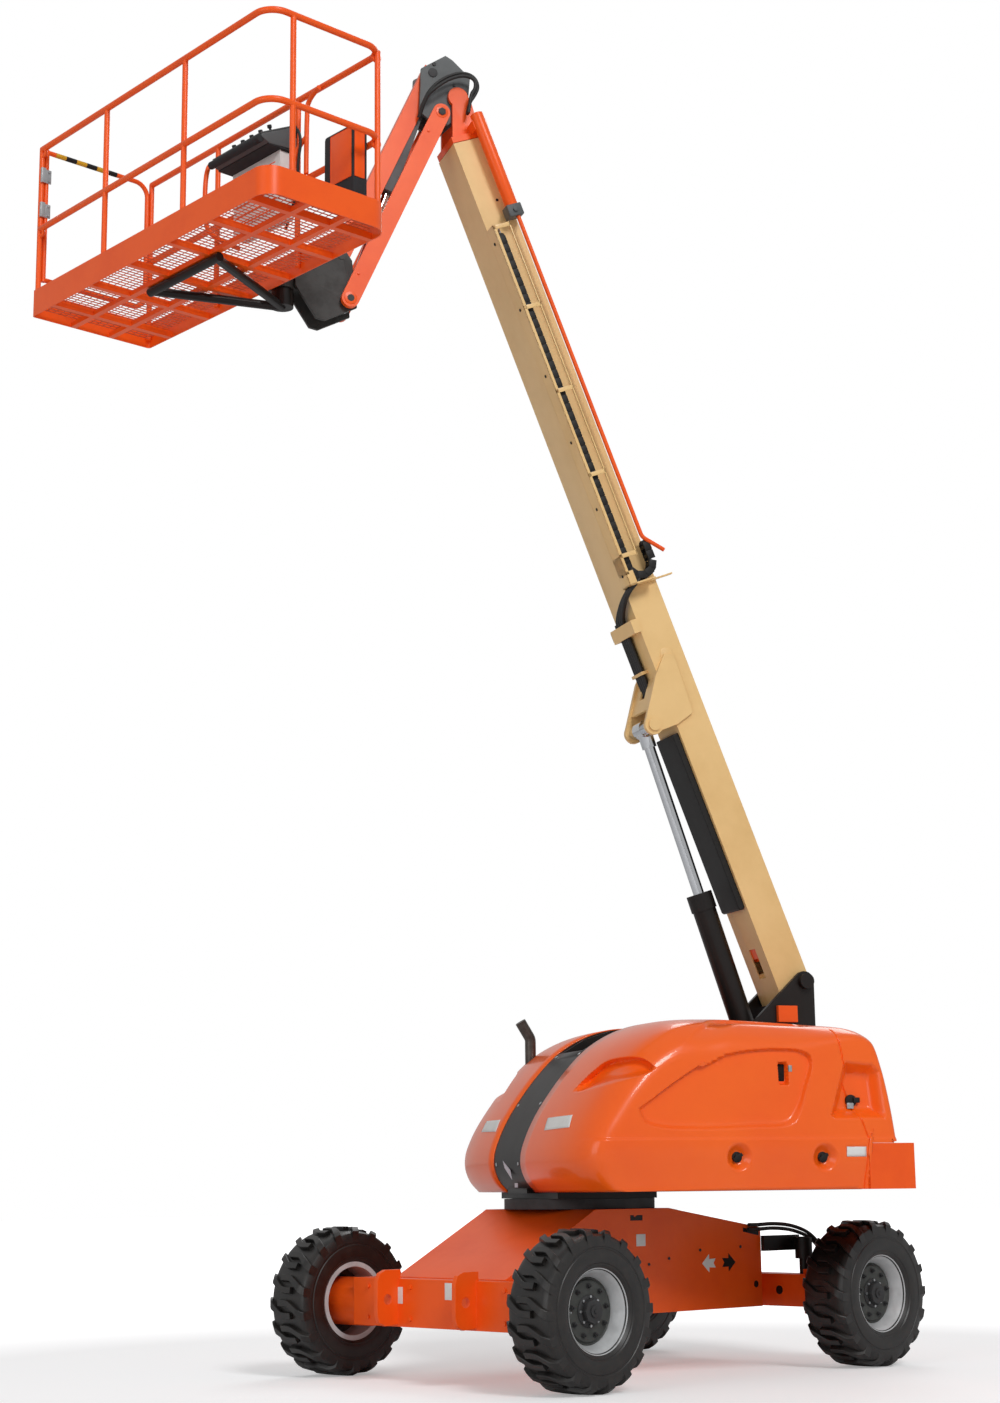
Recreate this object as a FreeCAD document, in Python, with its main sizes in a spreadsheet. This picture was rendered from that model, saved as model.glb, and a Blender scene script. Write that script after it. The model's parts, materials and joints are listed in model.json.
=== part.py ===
import FreeCAD, Part
import math
import os
import re
from types import SimpleNamespace

import Sketcher
from FreeCAD import Placement, Rotation, Vector

# Telescopic boom lift, self-propelled, with a jib and a swinging platform.
# Frame: origin on the ground under the slewing axis, +X towards the fixed axle,
# +Y towards the machine's left side, +Z up. Millimetres and degrees.
# It stands with the turntable slewed, the boom raised, the jib hanging and the
# platform turned; each sub-part is drawn in the frame of what carries it.

SIZES = {
    # chassis
    "wheelbase": 2387, "fixed_axle_x": 1000, "track_width": 1970, "frame_width": 900,
    "frame_bottom": 340, "frame_top": 925, "frame_tail_gap": 297, "frame_slope_x": -280,
    "frame_tail_top": 800, "nose_top_x": 330, "nose_end_x": 880, "nose_end_top": 640, "nose_lip_x": 1030,
    "frame_wall": 12, "axle_beam_depth": 260, "axle_beam_bottom": 300, "axle_beam_top": 560,
    "tie_plate_y": 320, "tie_plate_reach": 150, "tie_plate_rise": 50, "tie_plate_thick": 30,
    "tie_hole_radius": 28, "axle_end_y": 690, "gearbox_radius": 135, "face_gap": 0.4,
    "steer_beam_depth": 180, "steer_beam_bottom": 330, "steer_beam_top": 520,
    "steer_beam_half": 610, "kingpin_y": 740, "kingpin_radius": 28, "yoke_thick": 32,
    "yoke_gap": 196, "lock_radius": 52, "lock_y": 535, "lock_bottom": 560, "lock_top": 745,
    "bearing_radius": 440, "bearing_top": 985, "slew_gap": 0.3, "steer_arm_reach": 215,
    "steer_arm_inset": 20, "steer_arm_width": 40,
    # wheels
    "tyre_radius": 419, "tyre_width": 307, "bead_radius": 215, "tread_depth": 26, "lug_count": 18,
    "lug_share": 0.5, "lug_lean": 9, "shoulder_drop": 11, "shoulder_set": 15, "side_radius": 330,
    "rim_flange_radius": 229, "rim_well_radius": 203, "rim_width": 264, "rim_wall": 10,
    "disc_offset": 60, "hub_radius": 118,
    # turntable
    "slew_angle": -24.2, "turntable_half": 1100, "deck_thick": 36, "deck_front_x": 330,
    "deck_rear_x": -1590, "deck_half": 480, "slab_rear_x": -290, "tray_half": 1010,
    "tray_front_x": 60, "tray_rear_x": -1320, "tray_rise": 23, "hood_bottom": 1022, "hood_wall": 8,
    "hood_inner_y": 212,
    "riser_inner_y": 165, "riser_thick": 32, "pin_boss_y": 236,
    "pivot_x": -1420, "pivot_z": 2260, "riser_round": 62, "tail_bulge": 190,
    "weight_front_x": -1330, "weight_top": 1275, "lift_pin_x": -1330, "lift_pin_z": 1300,
    "exhaust_radius": 34, "exhaust_x": 20, "exhaust_y": -750,
    # boom
    "boom_angle": 68.7, "boom_width": 300, "boom_bottom": -163, "boom_top": 60,
    "boom_wall": 8, "boom_end": 5640, "boom_foot": -75, "boom_pin_radius": 35,
    "lug_x": 1785, "lug_z": -315, "lug_radius": 60, "lug_thick": 28, "lift_rod_radius": 34,
    "barrel_radius": 72, "barrel_length": 1585, "rod_tail": 950, "gland_radius": 80, "gland_length": 105,
    "tray_start": 2700, "tray_end": 5035, "tray_width": 115, "tray_height": 135,
    "tray_low": -172, "end_height": 345, "track_bend": 90,
    "chain_width": 62, "chain_height": 52, "push_tube_radius": 30, "push_tube_y": 222,
    "push_tube_z": 24, "push_rod_radius": 13, "head_reach": 296, "fly_tail": 200, "pad_gap": 0.5,
    "fly_width": 250,
    "fly_height": 170,
    # jib
    "jib_length": 1437, "jib_angle": -65.8, "arm_gap_x": 45, "arm_gap_z": 280,
    "lower_pin_x": 115, "lower_pin_z": -125, "arm_depth": 112, "lower_arm_thick": 34,
    "lower_arm_y": 122, "head_plate_y": 84, "head_plate_thick": 22, "upper_arm_width": 126,
    "jib_pin_radius": 22, "jib_barrel_length": 860, "guard_width": 92,
    # platform
    "rotator_x": 1835, "rotator_z": 6452, "rotator_radius": 84, "rotator_height": 92,
    "platform_turn": 22.7, "platform_offset": 151, "platform_width": 860,
    "platform_length": 2440, "platform_shift": 0, "platform_z": 6345, "toe_height": 168,
    "rail_height": 1128, "mid_rail": 575, "rail_radius": 19, "platform_round": 110,
    "toe_wall": 6, "mesh_inset": 46, "deck_top": 44.3, "gate_round": 20, "mesh_round": 2,
    "console_z": 690, "sheet_z": 315, "side_box_y": 800,
}

doc = FreeCAD.newDocument("boom_lift")
sheet = doc.addObject("Spreadsheet::Sheet", "cells")
for row, (alias, value) in enumerate(SIZES.items(), start=1):
    sheet.set(f"A{row}", alias)
    sheet.set(f"B{row}", str(value))
    sheet.setAlias(f"B{row}", alias)
doc.recompute()
dim = SimpleNamespace(**{alias: float(sheet.get(alias)) for alias in SIZES})

sub_parts = []
X_AXIS, Y_AXIS, Z_AXIS = Vector(1, 0, 0), Vector(0, 1, 0), Vector(0, 0, 1)


def cell_text(text):
    return re.sub(r"[a-z]\w+", lambda word: "cells." + word[0] if word[0] in SIZES else word[0], str(text))


def bind(item, **expressions):
    for prop, text in expressions.items():
        item.setExpression(prop.replace("__", "."), cell_text(text))


def block(name, size, centre):
    item = doc.addObject("Part::Box", name)
    bind(item, Length=size[0], Width=size[1], Height=size[2])
    for axis, middle, side in zip("xyz", centre, size):
        bind(item, **{"Placement__Base__" + axis: f"({middle}) - ({side}) / 2"})
    return item


def round_bar(name, radius, length, axis, centre):
    item = doc.addObject("Part::Cylinder", name)
    bind(item, Radius=radius, Height=length)
    turns = {"x": Rotation(Y_AXIS, 90), "y": Rotation(X_AXIS, -90), "z": Rotation()}
    item.Placement = Placement(Vector(), turns[axis])
    for letter, middle in zip("xyz", centre):
        start = f"({middle}) - ({length}) / 2" if letter == axis else middle
        bind(item, **{"Placement__Base__" + letter: start})
    return item


def origin_plane(body, role):
    return next(item for item in body.Origin.OriginFeatures if item.Role == role)


def outline(body, name, role, points, offset="0"):
    sketch = body.newObject("Sketcher::SketchObject", name)
    sketch.AttachmentSupport = [(origin_plane(body, role), "")]
    sketch.MapMode = "FlatFace"
    side = "-1" if role == "XZ_Plane" else "1"
    bind(sketch, AttachmentOffset__Base__z=f"{side} * ({offset})")
    count = len(points)
    start = [Vector(100 * math.cos(2 * math.pi * i / count), 100 * math.sin(2 * math.pi * i / count), 0)
             for i in range(count)]
    for i in range(count):
        sketch.addGeometry(Part.LineSegment(start[i], start[(i + 1) % count]), False)
    for i in range(count):
        sketch.addConstraint(Sketcher.Constraint("Coincident", i, 2, (i + 1) % count, 1))
    for i, (across, along) in enumerate(points):
        for kind, first, text in (("DistanceX", start[i].x, across), ("DistanceY", start[i].y, along)):
            number = sketch.addConstraint(Sketcher.Constraint(kind, -1, 1, i, 1, first))
            sketch.setExpression(f"Constraints[{number}]", cell_text(text))
    return sketch


def plate(name, role, points, thick, offset="0"):
    body = doc.addObject("PartDesign::Body", name)
    sketch = outline(body, name + "_outline", role, points, offset)
    pad = body.newObject("PartDesign::Pad", name + "_pad")
    pad.Profile = sketch
    pad.SideType = "Symmetric"
    bind(pad, Length=thick)
    return body


def turned(name, points):
    body = doc.addObject("PartDesign::Body", name)
    sketch = outline(body, name + "_outline", "XY_Plane", points)
    spin = body.newObject("PartDesign::Revolution", name + "_turn")
    spin.Profile = sketch
    spin.ReferenceAxis = (sketch, ["V_Axis"])
    spin.Angle = 360
    return body


def joined(name, *items):
    item = doc.addObject("Part::MultiFuse", name)
    item.Shapes = list(items)
    return item


def cut(name, base, *tools):
    item = doc.addObject("Part::Cut", name)
    item.Base = base
    item.Tool = tools[0] if len(tools) == 1 else joined(name + "_tools", *tools)
    return item


def feature(name, shape):
    item = doc.addObject("Part::Feature", name)
    item.Shape = shape
    return item


def keep(item, label, frame=Placement()):
    item.Label = label
    item.Placement = frame
    sub_parts.append(item)
    return item


def turn_about(axis, degrees, x=0, y=0, z=0):
    return Placement(Vector(x, y, z), Rotation(axis, degrees))


def tube_along(points, radius, bend):
    # straight runs with a tangent arc of one radius at each inner point
    edges, here = [], points[0]
    for before, corner, after in zip(points, points[1:], points[2:]):
        into = (corner - before).normalize()
        out = (after - corner).normalize()
        half = into.getAngle(out) / 2
        back = bend * math.tan(half)
        first, last = corner - into * back, corner + out * back
        middle = corner + (out - into).normalize() * (bend / math.cos(half) - bend)
        edges += [Part.LineSegment(here, first).toShape(), Part.Arc(first, middle, last).toShape()]
        here = last
    edges.append(Part.LineSegment(here, points[-1]).toShape())
    path = Part.Wire(edges)
    ring = Part.Wire(Part.Circle(points[0], points[1] - points[0], radius).toShape())
    return path.makePipeShell([ring], True, False)


def bar(start, end, radius):
    along = end - start
    return Part.makeCylinder(radius, along.Length, start, along)


# the wheel disc's inner face, just clear of which each hub drive ends
HUB_FACE = "(track_width / 2 + disc_offset - 7 - face_gap)"
HEAD_PIN = "(boom_end + head_reach)"

# the tie-down plates' outline, standing out from the fixed axle's face with eased corners
AXLE_FACE = "(fixed_axle_x + 10 + axle_beam_depth / 2)"
PLATE_TOP = "(axle_beam_top + tie_plate_rise)"
TIE_PLATE = [(f"{AXLE_FACE} - 20", "axle_beam_bottom + 14"),
             (f"{AXLE_FACE} + tie_plate_reach - 60", "axle_beam_bottom + 6"),
             (f"{AXLE_FACE} + tie_plate_reach - 18", "axle_beam_bottom + 24"),
             (f"{AXLE_FACE} + tie_plate_reach", "axle_beam_bottom + 64"),
             (f"{AXLE_FACE} + tie_plate_reach", f"{PLATE_TOP} - 60"),
             (f"{AXLE_FACE} + tie_plate_reach - 18", f"{PLATE_TOP} - 18"),
             (f"{AXLE_FACE} + tie_plate_reach - 60", PLATE_TOP), (f"{AXLE_FACE} - 20", PLATE_TOP)]
STEER_X = "(fixed_axle_x - wheelbase)"
TAIL_X = f"({STEER_X} + frame_tail_gap)"

# the hoods' long section beside the centre band, from the front foot over the top to the rear sill
HOOD_LINE = [(368, 1022), (425, 1085), (456, 1165), (455, 1240), (426, 1330), (372, 1440), (299, 1551),
             (180, 1702), (43, 1835), (-110, 1925), (-280, 1978), (-520, 1992), (-800, 1985), (-1100, 1965),
             (-1300, 1942), (-1392, 1905), (-1448, 1850), (-1496, 1700), (-1532, 1500), (-1556, 1290)]
FRONT_POINTS = 11
# half of the hoods' plan, from the rear edge round the front to the centre band
HOOD_PLAN = [(130, 0), (238, 0), (296, -14), (329, -36), (365, -89), (398, -178), (419, -266), (443, -444),
             (458, -900)]
# cross-section at the outer edge: distance in from the side, height
HOOD_EDGE = [(0, 1022), (0, 1740), (10, 1800), (38, 1860), (90, 1915), (170, 1955), (300, 1985),
             (480, 1996)]

# frames of the moving pieces

turntable = turn_about(Z_AXIS, dim.slew_angle)
boom = turntable * turn_about(Y_AXIS, -dim.boom_angle, dim.pivot_x, 0, dim.pivot_z)
head_at = turntable.inverse() * boom * Vector(dim.boom_end + dim.head_reach, 0, 0)
head = turntable * Placement(head_at, Rotation())
arm_turn = turn_about(Y_AXIS, -dim.jib_angle)
lower_arm = head * Placement(Vector(dim.lower_pin_x, 0, dim.lower_pin_z), Rotation()) * arm_turn
upper_arm = head * Placement(Vector(dim.lower_pin_x + dim.arm_gap_x, 0, dim.lower_pin_z + dim.arm_gap_z),
                             Rotation()) * arm_turn
foot_at = turntable.inverse() * lower_arm * Vector(dim.jib_length, 0, 0)
foot = turntable * Placement(foot_at, Rotation())
rotator = turntable * Placement(Vector(dim.rotator_x, 0, dim.rotator_z), Rotation())
platform = turntable * turn_about(Z_AXIS, dim.platform_turn, dim.rotator_x, 0, dim.platform_z)
lift_foot = Vector(dim.lift_pin_x, 0, dim.lift_pin_z)
lift_head = turntable.inverse() * boom * Vector(dim.lug_x, 0, dim.lug_z)
lift_line = lift_head - lift_foot
lift_angle = math.degrees(math.atan2(lift_line.z, lift_line.x))
lift = turntable * turn_about(Y_AXIS, -lift_angle, lift_foot.x, 0, lift_foot.z)
jib_cylinder_from = Vector(dim.lower_pin_x + dim.arm_gap_x, 0, dim.lower_pin_z + dim.arm_gap_z)
jib_cylinder_line = foot_at - head_at - jib_cylinder_from
jib_cylinder_angle = math.degrees(math.atan2(jib_cylinder_line.z, jib_cylinder_line.x))
jib_cylinder = head * turn_about(Y_AXIS, -jib_cylinder_angle, jib_cylinder_from.x, 0, jib_cylinder_from.z)


# chassis

def chassis_frame():
    side = [(TAIL_X, "frame_bottom"), ("nose_end_x", "frame_bottom"),
            ("nose_end_x", "axle_beam_top + face_gap"), ("nose_lip_x", "axle_beam_top + face_gap"),
            ("nose_lip_x", "axle_beam_top + face_gap + 4"), ("nose_top_x", "frame_top"),
            ("frame_slope_x", "frame_top"), (TAIL_X, "frame_tail_top")]
    hull = plate("frame_hull", "XZ_Plane", side, "frame_width")
    w = "frame_wall"
    inner = [(f"{TAIL_X} + {w}", f"frame_bottom + {w}"), (f"nose_end_x - {w}", f"frame_bottom + {w}"),
             (f"nose_end_x - {w}", f"nose_end_top - {w} * 1.5"),
             (f"nose_top_x - {w} * 0.5", f"frame_top - {w}"),
             (f"frame_slope_x + {w} * 0.2", f"frame_top - {w}"),
             (f"{TAIL_X} + {w}", f"frame_tail_top - {w} * 1.2")]
    room = plate("frame_room", "XZ_Plane", inner, f"frame_width - 2 * {w}")
    hole = round_bar("frame_slew_hole", "bearing_radius * 0.6", "frame_wall * 4", "z",
                     ("0", "0", "frame_top"))
    keep(cut("chassis_frame_cut", hull, room, hole), "chassis_frame")


def slew_bearing():
    ring = round_bar("bearing_ring", "bearing_radius", "bearing_top - frame_top", "z",
                     ("0", "0", "(bearing_top + frame_top) / 2"))
    bore = round_bar("bearing_bore", "bearing_radius * 0.72", "bearing_top", "z", ("0", "0", "frame_top"))
    keep(cut("slew_bearing_cut", ring, bore), "slew_bearing")


def fixed_axle():
    beam = block("axle_beam", ("axle_beam_depth", "2 * axle_end_y", "axle_beam_top - axle_beam_bottom"),
                 ("fixed_axle_x + 10", "0", "(axle_beam_top + axle_beam_bottom) / 2"))
    pieces = [beam]
    for side in (1, -1):
        pieces.append(round_bar("axle_gearbox", "gearbox_radius", f"{HUB_FACE} - axle_end_y", "y",
                                ("fixed_axle_x", f"{side} * (axle_end_y + {HUB_FACE}) / 2", "tyre_radius")))
        pieces.append(plate("tie_plate", "XZ_Plane", TIE_PLATE, "tie_plate_thick", f"{side} * tie_plate_y"))
    holes = [round_bar("tie_hole", "tie_hole_radius", "4 * tie_plate_thick", "y",
                       (f"{AXLE_FACE} + tie_plate_reach / 2", f"{side} * tie_plate_y",
                        "(axle_beam_top + axle_beam_bottom) / 2 + 20")) for side in (1, -1)]
    keep(cut("fixed_axle_cut", joined("fixed_axle_body", *pieces), *holes), "fixed_axle")


def steer_axle():
    at = STEER_X
    middle = "(steer_beam_bottom + steer_beam_top) / 2"
    pieces = [block("steer_beam", ("steer_beam_depth", "2 * steer_beam_half",
                                   "steer_beam_top - steer_beam_bottom"),
                    (at, "0", middle)),
              block("steer_saddle", (f"{TAIL_X} - {at} + 90", "frame_width * 0.5", "120"),
                    (f"({TAIL_X} + {at} - 90) / 2", "0", middle))]
    reach = "(kingpin_y + 75 - steer_beam_half)"
    for side in (1, -1):
        for level in (1, -1):
            pieces.append(block("yoke_arm", ("110", reach, "yoke_thick"),
                                (at, f"{side} * (steer_beam_half - 30 + {reach} / 2)",
                                 f"tyre_radius + {level} * (yoke_gap + yoke_thick) / 2")))
        pieces.append(block("yoke_web", ("110", "40", "yoke_gap + 2 * yoke_thick"),
                            (at, f"{side} * (steer_beam_half - 20)", "tyre_radius")))
        pieces.append(round_bar("kingpin", "kingpin_radius", "yoke_gap + 2 * yoke_thick + 16", "z",
                                (at, f"{side} * kingpin_y", "tyre_radius")))
    keep(joined("steer_axle_body", *pieces), "steer_axle")


def lock_cylinder(side, label):
    at = STEER_X
    barrel = round_bar(label + "_barrel", "lock_radius", "lock_top - lock_bottom - 60", "z",
                       (at, f"{side} * lock_y", "(lock_bottom + lock_top) / 2 + 20"))
    ram = round_bar(label + "_ram", "lock_radius * 0.55", "lock_bottom - steer_beam_top + 60", "z",
                    (at, f"{side} * lock_y", "(lock_bottom + steer_beam_top) / 2 + 30"))
    arm = block(label + "_arm", ("70", "lock_y - frame_width / 2 + 30", "26"),
                (at, f"{side} * (frame_width / 2 + lock_y + 30) / 2", "lock_top - 20"))
    bridge = block(label + "_bridge", (f"{TAIL_X} - ({at}) + 35", "26", "90"),
                   (f"({TAIL_X} + {at} - 35) / 2", f"{side} * (frame_width / 2 + 13)", "lock_top - 40"))
    keep(joined(label + "_body", barrel, ram, arm, bridge), label)


def knuckle(side, label):
    kingpin = (STEER_X, f"{side} * kingpin_y", "tyre_radius")
    arm_y = f"{side} * (kingpin_y - steer_arm_inset)"
    post = round_bar(label + "_post", "kingpin_radius + 34", "yoke_gap - 4", "z", kingpin)
    motor = round_bar(label + "_motor", "gearbox_radius * 0.62", f"{HUB_FACE} - kingpin_y - 20", "y",
                      (STEER_X, f"{side} * ({HUB_FACE} + kingpin_y + 20) / 2", "tyre_radius"))
    arm = block(label + "_arm", ("steer_arm_reach", "steer_arm_width", "30"),
                (f"{STEER_X} - steer_arm_reach / 2 - 20", arm_y, "tyre_radius"))
    pieces = [post, motor, arm]
    if side > 0:
        pieces.append(round_bar(label + "_stud", "14", "70", "z",
                                (f"{STEER_X} - steer_arm_reach", arm_y, "tyre_radius + 20")))
    bore = round_bar(label + "_bore", "kingpin_radius + 0.05", "yoke_gap * 2", "z", kingpin)
    keep(cut(label + "_cut", joined(label + "_body", *pieces), bore), label)


def tie_rod():
    at = f"{STEER_X} - steer_arm_reach"
    level = "tyre_radius + 34"
    end_y = "(kingpin_y - steer_arm_inset)"
    rod = round_bar("tie_bar", "16", f"2 * {end_y} - 34", "y", (at, "0", level))
    eyes = [round_bar("tie_eye", "30", "36", "z", (at, f"{side} * {end_y}",
                                                   f"{level} + 0.3")) for side in (1, -1)]
    bore = round_bar("tie_bore", "14.05", "80", "z", (at, end_y, level))
    keep(cut("tie_rod_cut", joined("tie_rod_body", rod, *eyes), bore), "tie_rod")


# wheels, each drawn about its axle along Y and turned round for the right side

def tyre_shape():
    # flat facets: the floor of the tread with two staggered rows of leaning lugs, the sides, the beads
    pitch = 2 * math.pi / dim.lug_count
    wide = pitch / 2 * dim.lug_share
    marks = (-wide / 2, wide / 2, pitch / 2 - wide / 2, pitch / 2 + wide / 2)
    half, lean = dim.tyre_width / 2, math.radians(dim.lug_lean)
    floor, top = dim.tyre_radius - dim.tread_depth, dim.tyre_radius
    seat = dim.bead_radius / math.cos(pitch / 4)
    bead_y, flange = dim.rim_width / 2 - 6, dim.rim_flange_radius + 5
    faces = []

    def at(radius, angle, y):
        return Vector(radius * math.sin(angle), y, radius * math.cos(angle))

    def facets(*corners):
        # a fan of triangles over the corners
        for b, c in zip(corners[1:], corners[2:]):
            faces.append(Part.Face(Part.makePolygon([corners[0], b, c, corners[0]])))

    for side in (1, -1):
        edge = side * (half - dim.shoulder_set)
        own = 0 if side > 0 else 2
        for tooth in range(int(dim.lug_count)):
            angles = [mark + tooth * pitch for mark in marks] + [marks[0] + (tooth + 1) * pitch]
            inner = [at(floor, angle, 0) for angle in angles]
            outer = [at(floor - dim.shoulder_drop * 2, angle + lean, edge) for angle in angles]
            for k in range(4):
                if k != own:
                    facets(inner[k], inner[k + 1], outer[k + 1], outer[k])
            inner_top = [at(top, angles[k], 0) for k in (own, own + 1)]
            outer_top = [at(top - dim.shoulder_drop, angles[k] + lean, edge) for k in (own, own + 1)]
            facets(inner_top[0], inner_top[1], outer_top[1], outer_top[0])
            facets(inner[own], inner_top[0], outer_top[0], outer[own])
            facets(inner[own + 1], inner_top[1], outer_top[1], outer[own + 1])
            facets(inner[own], inner[own + 1], inner_top[1], inner_top[0])
            facets(outer[own], outer[own + 1], outer_top[1], outer_top[0])
            for k in (0, 2):
                turn, ahead = angles[k] + lean, angles[k] + lean + pitch / 2
                wall = [at(dim.side_radius, turn, side * half), at(dim.side_radius, ahead, side * half)]
                lip = [at(flange, turn, side * bead_y), at(flange, ahead, side * bead_y)]
                foot = [at(seat, turn, side * bead_y), at(seat, ahead, side * bead_y)]
                facets(outer[k], outer[k + 1], wall[0])
                facets(outer[k + 1], outer[k + 2], wall[1], wall[0])
                facets(wall[0], wall[1], lip[1], lip[0])
                facets(lip[0], lip[1], foot[1], foot[0])
                if side > 0:
                    facets(foot[0], foot[1], at(seat, ahead, -bead_y), at(seat, turn, -bead_y))
    skin = Part.Compound(faces)
    skin.sewShape()
    solid = Part.Solid(skin.Shells[0]).removeSplitter()
    if solid.Volume < 0:
        solid.reverse()
    return solid


def tyre(label, frame):
    keep(feature(label + "_solid", rubber), label, frame)


def rim(label, frame):
    half = "rim_width / 2"
    flange, well, wall = "rim_flange_radius", "rim_well_radius", "rim_wall"
    barrel = [(f"{well} - {wall}", f"0 - {half}"), (flange, f"0 - {half}"), (flange, f"0 - {half} + 5.5"),
              (f"bead_radius - 0.5", f"0 - {half} + 5.5"), ("bead_radius - 0.5", f"{half} - 5.5"),
              (flange, f"{half} - 5.5"), (flange, half), (f"{well} - {wall}", half)]
    disc = [("hub_radius - 20", "disc_offset - 7"), (f"{well} - {wall} + 2", "disc_offset - 7"),
            (f"{well} - {wall} + 2", "disc_offset + 7"), ("hub_radius - 20", "disc_offset + 7")]
    hub = [("0", "disc_offset + 7"), ("0", "disc_offset + 62"), ("hub_radius * 0.55", "disc_offset + 62"),
           ("hub_radius * 0.62", "disc_offset + 40"), ("hub_radius * 0.92", "disc_offset + 34"),
           ("hub_radius", "disc_offset + 26"), ("hub_radius", "disc_offset - 7"),
           ("hub_radius * 0.6", "disc_offset - 7"), ("hub_radius * 0.5", "disc_offset + 7")]
    keep(joined(label + "_body", turned(label + "_barrel", barrel), turned(label + "_disc", disc),
                turned(label + "_hub", hub)), label, frame)


# turntable

def inset_line(points, inset):
    # the points moved in by one distance, square to the line through their neighbours
    moved = []
    for i, (x, z) in enumerate(points):
        before, after = points[max(i - 1, 0)], points[min(i + 1, len(points) - 1)]
        dx, dz = after[0] - before[0], after[1] - before[1]
        length = math.hypot(dx, dz)
        moved.append((round(x - inset * dz / length, 2), round(z + inset * dx / length, 2)))
    return moved


def hood_solid(side, name, inset):
    line = inset_line(HOOD_LINE, inset)
    sill = dim.weight_top + 0.5 + inset
    line = [(line[0][0], dim.hood_bottom - 4 * inset)] + line[1:-1] + [(line[-1][0], sill)]
    front = dim.weight_front_x - inset
    line += [(front, sill), (front, dim.hood_bottom - 4 * inset)]
    width = "turntable_half - hood_inner_y"
    middle = f"{side} * (turntable_half + hood_inner_y) / 2"
    long_way = plate(name + "_long", "XZ_Plane", line, width, f"{middle} - {side} * {inset}")
    edge = [(f"{side} * (turntable_half - {y} - {inset})", z) for y, z in HOOD_EDGE[1:]]
    edge = [(edge[0][0], dim.hood_bottom - 60)] + edge + [(0, HOOD_EDGE[-1][1]), (0, dim.hood_bottom - 60)]
    across = plate(name + "_across", "YZ_Plane", edge, 5000)
    plan = [(x - inset, f"{side} * (turntable_half + {y} - {inset})") for x, y in HOOD_PLAN]
    plan = [(-1700, plan[0][1])] + plan + [(HOOD_PLAN[-1][0] - inset, 0), (-1700, 0)]
    down = plate(name + "_down", "XY_Plane", plan, 5000)
    solid = doc.addObject("Part::MultiCommon", name)
    solid.Shapes = [long_way, across, down]
    return solid


def hood(side, label):
    pieces = [hood_solid(side, label + "_room", dim.hood_wall)]
    if side < 0:
        pieces.append(round_bar("exhaust_hole", "exhaust_radius + 0.3", "900", "z",
                                ("exhaust_x", "exhaust_y", "1900")))
    keep(cut(label + "_cut", hood_solid(side, label + "_shell", 0), *pieces), label, turntable)


def turntable_base():
    # a small slab over the bearing, and a wider tray on it inside the hoods
    slab_top = "(bearing_top + slew_gap + deck_thick)"
    riser_foot = f"{slab_top} - 1"
    slab = block("deck", ("deck_front_x - 15 - slab_rear_x", "2 * deck_half", "deck_thick"),
                 ("(deck_front_x - 15 + slab_rear_x) / 2", "0", "bearing_top + slew_gap + deck_thick / 2"))
    tray = block("deck_tray", ("tray_front_x - tray_rear_x", "2 * tray_half", "tray_rise + 1"),
                 ("(tray_front_x + tray_rear_x) / 2", "0", f"{slab_top} + (tray_rise - 1) / 2"))
    top = "pivot_z"
    pieces = [slab, tray]
    front = inset_line(HOOD_LINE[:FRONT_POINTS], 10)
    behind = inset_line(HOOD_LINE[:FRONT_POINTS], 22)
    for side in (1, -1):
        mid = f"{side} * (riser_inner_y + riser_thick / 2)"
        outer = [("deck_front_x - 20", riser_foot)] + front
        outer += [("deck_front_x - 900", 1975), ("pivot_x + 400", 1965),
                  ("pivot_x + riser_round * 0.72", "pivot_z + riser_round * 0.69"), ("pivot_x", "pivot_z"),
                  ("pivot_x - riser_round", "pivot_z"), ("pivot_x - riser_round", riser_foot)]
        pieces.append(plate("riser", "XZ_Plane", outer, "riser_thick", mid))
        pieces.append(round_bar("riser_top", "riser_round", "riser_thick", "y", ("pivot_x", mid, top)))
        pieces.append(round_bar("pin_boss", "46", "pin_boss_y - riser_inner_y", "y",
                                ("pivot_x", f"{side} * (pin_boss_y + riser_inner_y) / 2", top)))
        pieces.append(round_bar("lift_boss", "62", "riser_inner_y - 52 + 10", "y",
                                ("lift_pin_x", f"{side} * (riser_inner_y + 52 + 10) / 2", "lift_pin_z")))
    cover = front[:7] + behind[6::-1]
    pieces.append(plate("front_cover", "XZ_Plane", cover, "2 * riser_inner_y + 2"))
    pieces.append(block("cover_foot", ("150", "2 * riser_inner_y + 2", "30"),
                        ("deck_front_x - 20", "0", "bearing_top + deck_thick + 10")))
    pins = [round_bar("boom_pin", "boom_pin_radius", "2 * pin_boss_y - 10", "y", ("pivot_x", "0", top)),
            round_bar("lift_pin", "38", "2 * riser_inner_y", "y", ("lift_pin_x", "0", "lift_pin_z"))]
    keep(joined("turntable_base_body", *pieces, *pins), "turntable_base", turntable)
    corners = [("pivot_x + 70", 2009), ("pivot_x + 198", 2009), ("pivot_x + 198", 2109),
               ("pivot_x + 70", 2109)]
    keep(plate("switch_box", "XZ_Plane", corners, "32", "riser_inner_y + riser_thick + 16.3"), "riser_box",
         turntable)


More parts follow.
